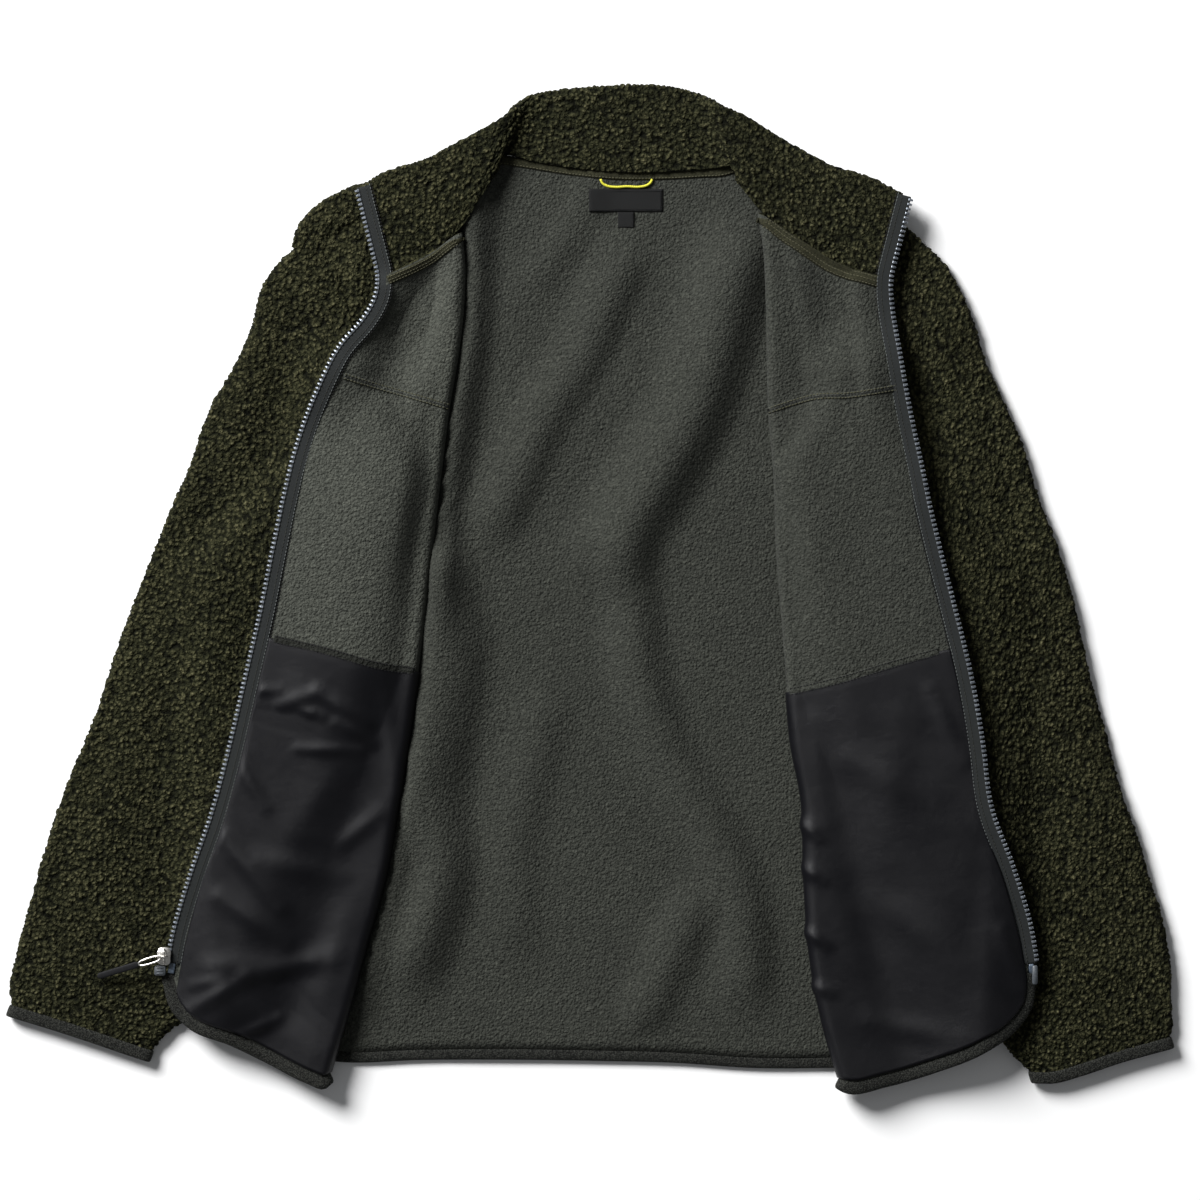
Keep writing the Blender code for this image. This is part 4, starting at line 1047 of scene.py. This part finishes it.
def ring_outline(line, rise, puff, height, top, low, turn):
    """Outline of a flattened tube across a plan line: top, inner end, underside, outer end."""
    length = arc(line)[-1] * UNIT
    r = height / 2
    crown, foot = (r + (length - 2 * r) * spread(k) for k in (top, low))
    bend = np.radians(np.linspace(90, -90, turn + 2)[1:-1])
    far = np.r_[crown, length - r + r * np.cos(bend), foot[::-1], r - r * np.cos(bend[::-1])]
    swell = puff * np.abs(np.sin(math.pi * (crown - r) / (length - 2 * r))) ** 0.7
    z = np.r_[2 * r + swell, r + r * np.sin(bend), np.zeros(low), r + r * np.sin(bend[::-1])]
    plan = at(line, far / UNIT)
    return placed(plan, z + rise(plan[:, 0], plan[:, 1]))


def sleeve_lines(side, rows):
    """Plan lines across a sleeve; its head reaches under the seam with the body."""
    s = {k: [(x - side.out * (11 if k == "head" else 9 * (y < 262))
              * max(0, min(1, (430 - y) / 120)), y - 4 * (y < 262)) for x, y in v]
         for k, v in side.sleeve.items()}
    return coons(*(curve(s[k], spread(60)) for k in ("head", "cuff")),
                 *(curve(s[k], spread(rows)) for k in ("outer", "inner")))


def sleeve(side):
    rows, top, low, turn, k = 469, 122, 36, 5, 4
    rings = np.array([ring_outline(line, side.lift, 0.8, SLEEVE, top, low, turn)
                      for line in sleeve_lines(side, rows)])
    n = unit(np.cross(np.roll(rings, -1, axis=1) - np.roll(rings, 1, axis=1),
                      np.gradient(rings, axis=0)))
    flip = n[rows // 2, top // 2, 2] < 0
    n = -n if flip else n
    pile = clumps(rings, 60 + side.out)
    x, y = plan_of(rings)
    soft = ridges(x, y, side.sleeve_folds) + 0.5 * waves(rings, 34.0, 70 + side.out)
    soft = soft * step((n[..., 2] + 0.2) / 0.7)
    outer = rings + n * (PILE * (pile - 0.72) + soft)[..., None]
    outer[..., 2] = np.maximum(outer[..., 2], side.lift(x, y) + LOWEST)
    inner = (rings - n * (CLOTH - 1.2))[::k, ::k]
    mid = inner[..., 2].mean(axis=1, keepdims=True)
    inner[..., 2] = mid + (inner[..., 2] - mid) * 0.9
    if flip:
        outer, inner, pile = (np.roll(g[:, ::-1], 1, axis=1) for g in (outer, inner, pile))
    return shell("sleeve_cloth_" + side.name, outer, inner, k, "pile", pile=pile, wrap=True,
                 nodes=["sleeve_" + side.name])


def pocket_bag(side, surface):
    """Knit bag from its seam down to the binding, round the fold."""
    seam = curve(side.bag, spread(60))
    seam = seam[np.argsort(seam[:, 0])]
    x, y = plan_of(surface)
    below = y - np.interp(x, seam[:, 0], seam[:, 1])
    width = np.linalg.norm(surface[:, -1] - surface[:, len(ANGLES)], axis=1) / 43
    slanted = 1 + 0.75 * step((y[:, -1] - 860) / 90)  # rows meet the zip at a slant near the hem
    last = surface.shape[1] - 1 - TAPE_OVER * UNIT / width * slanted
    first = np.array([np.interp(0, below[:, j], np.arange(len(below)))
                      for j in range(surface.shape[1])])
    rows, columns = 135, 77
    share, t = spread(columns)[None, :], spread(rows)[:, None]
    top_row = np.interp(share * last.mean(), np.arange(len(first)), first)
    r = top_row + (len(surface) - 1.6 - top_row) * t
    grid = sample(surface, r, share * np.interp(r, np.arange(len(last)), last))
    n = outward(grid)
    crumple = 1.5 * ridges(*plan_of(grid), side.bag_creases) * step(t * rows / 5)
    crumple = crumple + 0.25 * (1 + waves(grid, 30.0, 90 + side.out))
    ends = step(t * rows / 3) * step((1 - share) * columns / 3)
    top = grid + n * (0.25 + KNIT + np.maximum(crumple, -0.1) * ends)[..., None]
    low = grid + n * 0.15
    if facing(top)[rows // 2, -9, 2] < 0:
        top, low = top[:, ::-1], low[:, ::-1]
    return shell("pocket_bag_knit_" + side.name, top, low[::2, ::2], 2, "knit",
                 nodes=["pocket_bag_" + side.name])


def collar_middle(u, v):
    """Middle of the collar: u along it from the left zip, v from neck edge to top edge."""
    rows = np.array(COLLAR_ROWS, float)
    line = hermite(rows, np.arange(len(rows)) / (len(rows) - 1), u)
    neck, top = line[..., :3], line[..., 3:]
    x, y = (neck[..., k] + (top[..., k] - neck[..., k]) * v for k in (0, 1))
    return placed(np.stack([x, y], axis=-1), neck[..., 2] + (top[..., 2] - neck[..., 2]) * v**3)


def collar():
    """Two layers of pile cloth, rolled over at the top edge."""
    along, up, turn, r = 369, 58, 7, COLLAR / 2
    # stations spread evenly along the collar's middle line
    fine = spread(1200)
    s = arc(collar_middle(fine, np.full_like(fine, 0.6)))
    u = np.interp(np.linspace(0, s[-1], along), s, fine)
    v = np.linspace(-0.045, 1 - r / UNIT / 92 * 0.8, up)
    middle = collar_middle(u[:, None] + 0 * v[None], v[None] + 0 * u[:, None])
    for _ in range(2):  # eases the table's corners
        middle[1:-1] = (middle[:-2] + 2 * middle[1:-1] + middle[2:]) / 4
    n = facing(middle)
    n *= np.sign(n[..., 2:])
    out = unit(middle[:, -1] - middle[:, -3])
    t = np.linspace(0, math.pi, turn + 2)[1:-1]
    round_edge = (n[:, -1][:, None] * np.cos(t)[None, :, None]
                  + out[:, None] * np.sin(t)[None, :, None])
    edge = middle[:, -1][:, None] + r * round_edge
    grid = np.concatenate([middle + n * r, edge, (middle - n * r)[:, ::-1]], axis=1)
    normal = np.concatenate([n, round_edge, -n[:, ::-1]], axis=1)
    pile = clumps(grid, 80)
    soft = 0.7 * waves(grid, 24.0, 81)
    grid = grid + normal * (PILE * (pile - 0.7) + soft)[..., None]
    grid[..., 2] = np.maximum(grid[..., 2], 0.05)
    faces = loft(grid)
    a, b, c, d = np.moveaxis(grid.reshape(-1, 3)[faces[:-2]], 1, 0)
    if np.einsum("ij,ij->i", a, np.cross(b, c) + np.cross(c, d)).sum() < 0:
        faces = backwards(faces)
    return piece("collar_cloth", grid, faces, "pile", pile=pile, flat_from=len(faces) - 2,
                 nodes=["collar"])


def binding_front(side, lower, turned):
    cloth = np.r_[lower[-1], turned[-1]]
    row, start = turned_row(side, hem_line(side, 0.0), turned.shape[1] - len(ANGLES))
    end = np.add(side.side[-1], (0, BINDING_WIDTH))
    edge = np.r_[placed(curve([end, start], spread(lower.shape[1])), UNDER), row]
    far = np.linspace(0, arc(cloth)[-1], 300)
    a = at(cloth - 0.32 * (edge - cloth), far)
    share = np.interp(far, arc(cloth), np.arange(len(cloth)))
    b = sample(np.stack([edge, edge], axis=1), share, np.zeros_like(share))
    on = unit(b[-1] - b[-6]) * np.arange(1, 9)[:, None]  # up to the end of the zip
    return band("hem_binding_knit_" + side.name, np.r_[a, a[-1] + on], np.r_[b, b[-1] + on], 5.6,
                ["hem_binding_" + side.name])


def binding_back():
    line = curve(BACK_HEM, spread(260))
    line = line[(line[:, 0] > 268) & (line[:, 0] < 950)]
    z = 2.45 + 0.5 * np.abs(waves(placed(line, 0), 70.0, 3))
    band("hem_binding_knit_back", placed(line + (0, -0.6), z),
         placed(line + (0, BINDING_WIDTH), z - 0.2), 4.6, ["hem_binding_back"])


def cuff(side):
    lines = sleeve_lines(side, 40)
    down = unit((lines[-1] - lines[-3]).mean(axis=0))
    a, b = (ring_outline(lines[-1] + down * far, lambda x, y: side.lift(x, y) + thin / 2, 0.3,
                         SLEEVE - thin, 70, 60, 6) + (0, 0, 0.6)
            for far, thin in ((-0.8, 1.4), (BINDING_WIDTH + 0.4, 2.4)))
    return band("cuff_binding_knit_" + side.name, a, b, 2.6, ["cuff_binding_" + side.name],
                closed=True)


# ---- zips ---------------------------------------------------------------------------------
def zip_line(side, surface):
    """Edge of the cloth under the zip tape from collar to hem, and the way out from it."""
    v = np.linspace(0.985, 0.0, 30)
    top = collar_middle(np.full_like(v, side is RIGHT), v) + (0, 0, COLLAR / 2 + 0.9)
    cloth = surface[2:, -1] + outward(surface)[2:, -1] * 0.9
    path = even(np.r_[top, cloth], 2.0)
    for _ in range(14):
        path[1:-1] = (path[:-2] + 2 * path[1:-1] + path[2:]) / 4
    way = np.gradient(path, axis=0)
    out = np.stack([-way[:, 1], way[:, 0], np.zeros(len(way))], axis=1)
    return path, unit(out) * (side.out * np.sign(out[:, 0]))[:, None]


def zip_part(name, path, out, inner, outer, finish, node):
    """Strip of tape beside the zip's line, inner and outer in plan units from the cloth edge."""
    across = 8
    far = np.linspace(inner, outer, across) * UNIT
    grid = path[:, None] + out[:, None] * far[None, :, None]
    edge = np.zeros(across)
    edge[[0, -1]] = TAPE * 0.4
    grid[..., 2] += TAPE / 2 - edge
    low = grid - (0, 0, 1) * (TAPE - 2 * edge)[None, :, None]
    if facing(grid)[..., 2].mean() < 0:
        grid, low = grid[:, ::-1], low[:, ::-1]
    return shell(name, grid, low, 1, finish, nodes=[node])


def tooth():
    """One cast tooth: legs on the tape's cord, waisted neck and rounded head. x runs along."""
    rings, c = [], 0.42
    for y, x, z in ((-1.3, 0.95, 1.25), (-0.9, 1.1, 1.45), (0.7, 1.05, 1.4), (1.3, 0.72, 1.15),
                    (1.9, 0.95, 1.0), (2.25, 0.6, 0.6)):
        rings.append([(x, y, z - c), (x - c, y, z), (c - x, y, z), (-x, y, z - c),
                      (-x, y, c - z), (c - x, y, -z), (x - c, y, -z), (x, y, c - z)])
    return np.concatenate(rings), loft(np.array(rings))


def zip_of(side, path, out):
    """Tape, end film, teeth and cord of one side's zip."""
    node, y = "zip_tape_" + side.name, plan_of(path)[1]
    body = y < TAPE_END
    low = (y > TAPE_END - 1) & (y < side.film_end)
    tape = zip_part("zip_tape_woven_" + side.name, path[body], out[body], -TAPE_OVER * 0.85,
                    EDGE_IN + 1.6, "zip_tape", node)
    zip_part("zip_film_sheet_" + side.name, path[low], out[low], 0.6,
             (EDGE_IN + TAPE_OUT) * side.film_share, "film", "zip_film_" + side.name)
    path, out = path[body], out[body]
    teeth_line = path + out * (EDGE_IN + 1.4) * UNIT
    long = arc(teeth_line)
    where = np.arange(2.4, long[-1] - side.last_tooth, TOOTH_PITCH)
    outs = unit(np.stack([np.interp(where, long, out[:, k]) for k in range(3)], axis=-1))
    up = np.tile((0.0, 0.0, 1.0), (len(where), 1))
    axes = np.stack([np.cross(outs, up), outs, up], axis=1)
    piece("zip_teeth_" + side.name, *many(*tooth(), at(teeth_line, where), axes), "teeth",
          flat_from=0, nodes=[node])
    piece("zip_cord_" + side.name, *tube(teeth_line - out, 0.85, 6), "zip_tape", nodes=[node])
    return tape


# ---- slider, pull, box and pin ------------------------------------------------------------
def superellipse(a, b, power, n=32):
    t = 2 * math.pi * np.arange(n) / n
    c, s = np.cos(t), np.sin(t)
    return np.c_[a * np.sign(c) * np.abs(c) ** (2 / power),
                 b * np.sign(s) * np.abs(s) ** (2 / power)]


def rounded(outline, z0, z1, ease):
    """A plate from an outline of x, y, with eased edges, between two heights."""
    d = outline - outline.mean(axis=0)
    small = outline.mean(axis=0) + d * (1 - ease / np.linalg.norm(d, axis=1))[:, None]
    grid = np.stack([np.c_[ring, np.full(len(ring), z)] for ring, z in (
        (small, z0), (outline, z0 + ease), (outline, z1 - ease), (small, z1))])
    return grid.reshape(-1, 3), loft(grid)


BAR = 1000 * np.array(next(j["pos_m"] for j in frame["record"]["behaviour"]["joints"]
                           if j["name"] == "pull_swing"))


def slider():
    parts = []
    for z0, z1 in ((-2.8, -1.5), (1.5, 2.8)):
        outline = superellipse(5.5, 7.0, 3.2, 36)
        waist = 1 - 0.12 * np.exp(-((outline[:, 1] + 1.5) / 2.6) ** 2)
        parts.append(rounded(outline * np.c_[waist, np.ones(36)], z0, z1, 0.4))
    parts.append(rounded(superellipse(1.3, 2.6, 3, 20) + (-2.2, 3.4), -1.7, 1.7, 0.2))
    parts.append(rounded(superellipse(0.5, 4.8, 6, 20) + (-5.0, -0.6), -2.6, 2.6, 0.2))
    t = np.linspace(0, math.pi, 19)
    arch = np.c_[0 * t, 5.2 * np.cos(t), 2.4 + 4.7 * np.sin(t) ** 0.55]
    arch[:, 2] = np.minimum(arch[:, 2], SLIDER_RISE + 0.05)
    points, faces = joined(*parts, tube(arch, 0.85, 10))
    piece("slider_body", points + BAR - (0, 0, SLIDER_RISE), faces, "metal", nodes=["slider"])


def pull():
    """Wire link on the bail's bar and the strap that hangs from it, resting on the sleeve."""
    run = placed((96.0, 977.0), 0) - placed((165.0, 955.5), 0)
    heading, tilt = math.atan2(run[1], run[0]), math.radians(11.5)
    c, s = math.cos(heading), math.sin(heading)
    tc, ts = math.cos(tilt), math.sin(tilt)
    turn = np.array([(c * tc, s * tc, -ts), (-s, c, 0), (c * ts, s * ts, tc)])
    eye, link, long = 2.3, 9.6, 35.6  # radius of the eye, half the link, the strap
    t = np.linspace(0, 2 * math.pi, 49)[:-1]
    ring = np.c_[np.cos(t), 0 * t, np.sin(t)]
    wire = swept(eye * ring, ring, np.tile((0.0, 1.0, 0.0), (48, 1)), 0.75, 10, closed=True)
    loop = superellipse(9.2, 2.55, 2.6, 64) * (1, 0.88) + (eye + link, 0)
    points, faces = tube(np.c_[loop, np.zeros(64)], 0.78, 10, closed=True)
    points, faces = joined(wire, (points @ turn, faces))
    piece("pull_link_wire", points + BAR, faces, "metal", nodes=["pull_link"], body="pull")
    x = np.r_[0, 0.4, 1.4, 3.2, np.linspace(5, long - 4, 22), long - 2.2, long - 0.8, long]
    half = 2.55 * np.minimum(0.42 + x / 5.0, 1.0)
    half *= np.clip(np.sqrt(np.maximum(1 - ((x - long + 2.2) / 2.3).clip(0) ** 2, 0.02)), 0.1, 1)
    thick = np.clip(0.6 + x / 14, 0, 1.0) * (1 - 0.05 * np.cos(x * 2.4))
    ring = superellipse(1.0, 1.0, 2.8, 20)
    grid = np.stack([np.c_[np.full(20, eye + 19.0 - 0.9 + a), ring * (h, k)]
                     for a, h, k in zip(x, half, thick)])
    piece("pull_strap_moulded", grid @ turn + BAR, backwards(loft(grid)), "strap",
          nodes=["pull_strap"], body="pull")


def ends():
    """The retainer box with its three ribs, and the insertion pin, on their solids."""
    for node, ribs in (("retainer_box", (-2.2, 0.0, 2.2)), ("insertion_pin", ())):
        lo, hi = (np.array(p) * 1000 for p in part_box(node))
        a, b, high = (hi - lo) / 2
        parts = [rounded(superellipse(a, b, 5), -high, high, 0.5)]
        parts += [rounded(superellipse(a * 0.62, 0.45, 4, 16) + (0, y), high - 0.3, high + 0.35,
                          0.15) for y in ribs]
        points, faces = joined(*parts)
        piece(node + "_moulded", points + (lo + hi) / 2, faces, "plastic", nodes=[node])


# ---- label, tab and loop ------------------------------------------------------------------
def label(ground):
    thick = 0.6
    for node, x0, x1, y0, y1, columns in (("neck_label", 589, 663, 188.2, 211, 41),
                                          ("size_tab", 618, 634, 211.6, 227, 13)):
        x, y = np.meshgrid(np.linspace(x0, x1, columns), np.linspace(y0, y1, 15))
        grid = ground.drop(np.c_[x.ravel(), y.ravel()])[0].reshape(x.shape + (3,))
        grid[..., 2] = np.maximum(grid[..., 2].mean(axis=0)[None], CLOTH) + 0.35 + thick
        rim = np.minimum(np.minimum(x - x0, x1 - x), np.minimum(y - y0, y1 - y))
        grid[..., 2] += 0.12 * np.sin(x * 0.16) - 0.22 * (rim < 0.4)
        shell(node + "_woven", grid[:, ::-1], (grid - (0, 0, thick))[:, ::-1], 1, "label",
              nodes=[node])
    lines = [placed(even(np.array(line, float), 2.0), CLOTH + 1.15) for line in (
        [(591, 190.4), (661, 190.4)], [(591, 208.8), (661, 208.8)],
        [(591.4, 190.4), (591.4, 208.8)], [(660.6, 190.4), (660.6, 208.8)])]
    stitches("label_stitches", lines, ground, "dark_thread", "neck_label", pitch=1.9, long=1.5,
             wide=0.5, high=0.45)


def hang_loop():
    """The loop as a round cord along its solid."""
    line = placed(curve(LOOP_PATH, spread(40)), CLOTH + 0.3 + 1.0)
    o = piece("hang_loop_cord", *tube(line, 1.0, 12), "cord", nodes=["hang_loop"])


# ---- making -------------------------------------------------------------------------------
def sew(side):
    """One front with everything sewn to it, and its sleeve."""
    name = side.name
    lower, turned = front_grid(side)
    panel, surface = front(side, lower, turned)
    ground = Ground(surface if facing(surface)[80, -5, 2] > 0 else surface[:, ::-1])
    patch = yoke(side)
    bag = pocket_bag(side, surface)
    arm = sleeve(side)
    arm_end = cuff(side)
    hem = binding_front(side, lower, turned)
    path, out = zip_line(side, surface)
    tape = zip_of(side, path, out)

    seam = sample(surface, np.full(40, 1.35), np.linspace(3, surface.shape[1] - 2, 40))
    seam, wide = np.stack(plan_of(seam), axis=1), side.neck_tape
    neck = strip("neck_tape_woven_" + name, seam, wide, 0.8, ground, "neck_tape",
                 ["neck_tape_" + name], above=0.15, ends=0.3)
    chest = curve(side.chest, spread(60))
    front_node, bag_node = "front_" + name, "pocket_bag_" + name
    # The chest seam strip takes its front's painted-shade copy of the lining.
    chest_strip = strip("chest_seam_" + name, chest, 6.4, 0.5, ground, "fleece_" + name,
                        [front_node], above=0.05)
    bag_seam = curve(side.bag, spread(60))
    bag_seam = bag_seam[np.argsort(bag_seam[:, 0])][2:-2]
    # The bag seam tape takes a darkened copy of the lining, painted shade.
    trim = strip("bag_seam_" + name, bag_seam, 8.5, 0.9, ground, "bag_tape_" + name, [bag_node],
                 above=0.5)
    for k, (line, apart, thread, above) in enumerate((
            (seam[4:], [d * (wide - 3.0) / 2 for d in (1, 0.1, -1)], "olive_thread", 0.95),
            (chest, (2.3, -2.3), "olive_thread", 0.75), (chest, (0.0,), "dark_thread", 0.5),
            (bag_seam, (3.0, -3.0), "dark_thread", 1.45))):
        stitches(f"stitches_{name}_{k}", [offset(line, d) for d in apart], ground, thread,
                 front_node, above=above)
    on = plan_of(path)[1] < TAPE_END
    for row, d, up, thread in (("edge", -4.7, 0.5, "tape_thread"), ("row", -0.6, 0.5, "thread"),
                               ("cloth", -6.6, -0.3, "dark_thread")):
        stitches(f"stitches_zip_{row}_{name}", [path[on] + out[on] * d * UNIT + (0, 0, up)],
                 ground, thread, "zip_tape_" + name, pitch=2.8)


def main():
    studio()
    back_piece, ground = back()
    binding_back()
    collar_piece = collar()
    for side in (LEFT, RIGHT):
        sew(side)
    line = curve(BACK_NECK, np.linspace(0.03, 0.975, 80)) + (0, 4.2)
    node = "neck_tape_back"
    neck = strip("neck_tape_woven_back", line, 9.4, 0.8, ground, "neck_tape", [node], above=0.2)
    for name, d, thread in (("light", -3.2, "olive_thread"), ("dark", 4.6, "dark_thread")):
        stitches("stitches_neck_back_" + name, [offset(line, d)], ground, thread, node, above=1.0)
    ends()
    slider()
    pull()
    label(ground)
    hang_loop()


main()
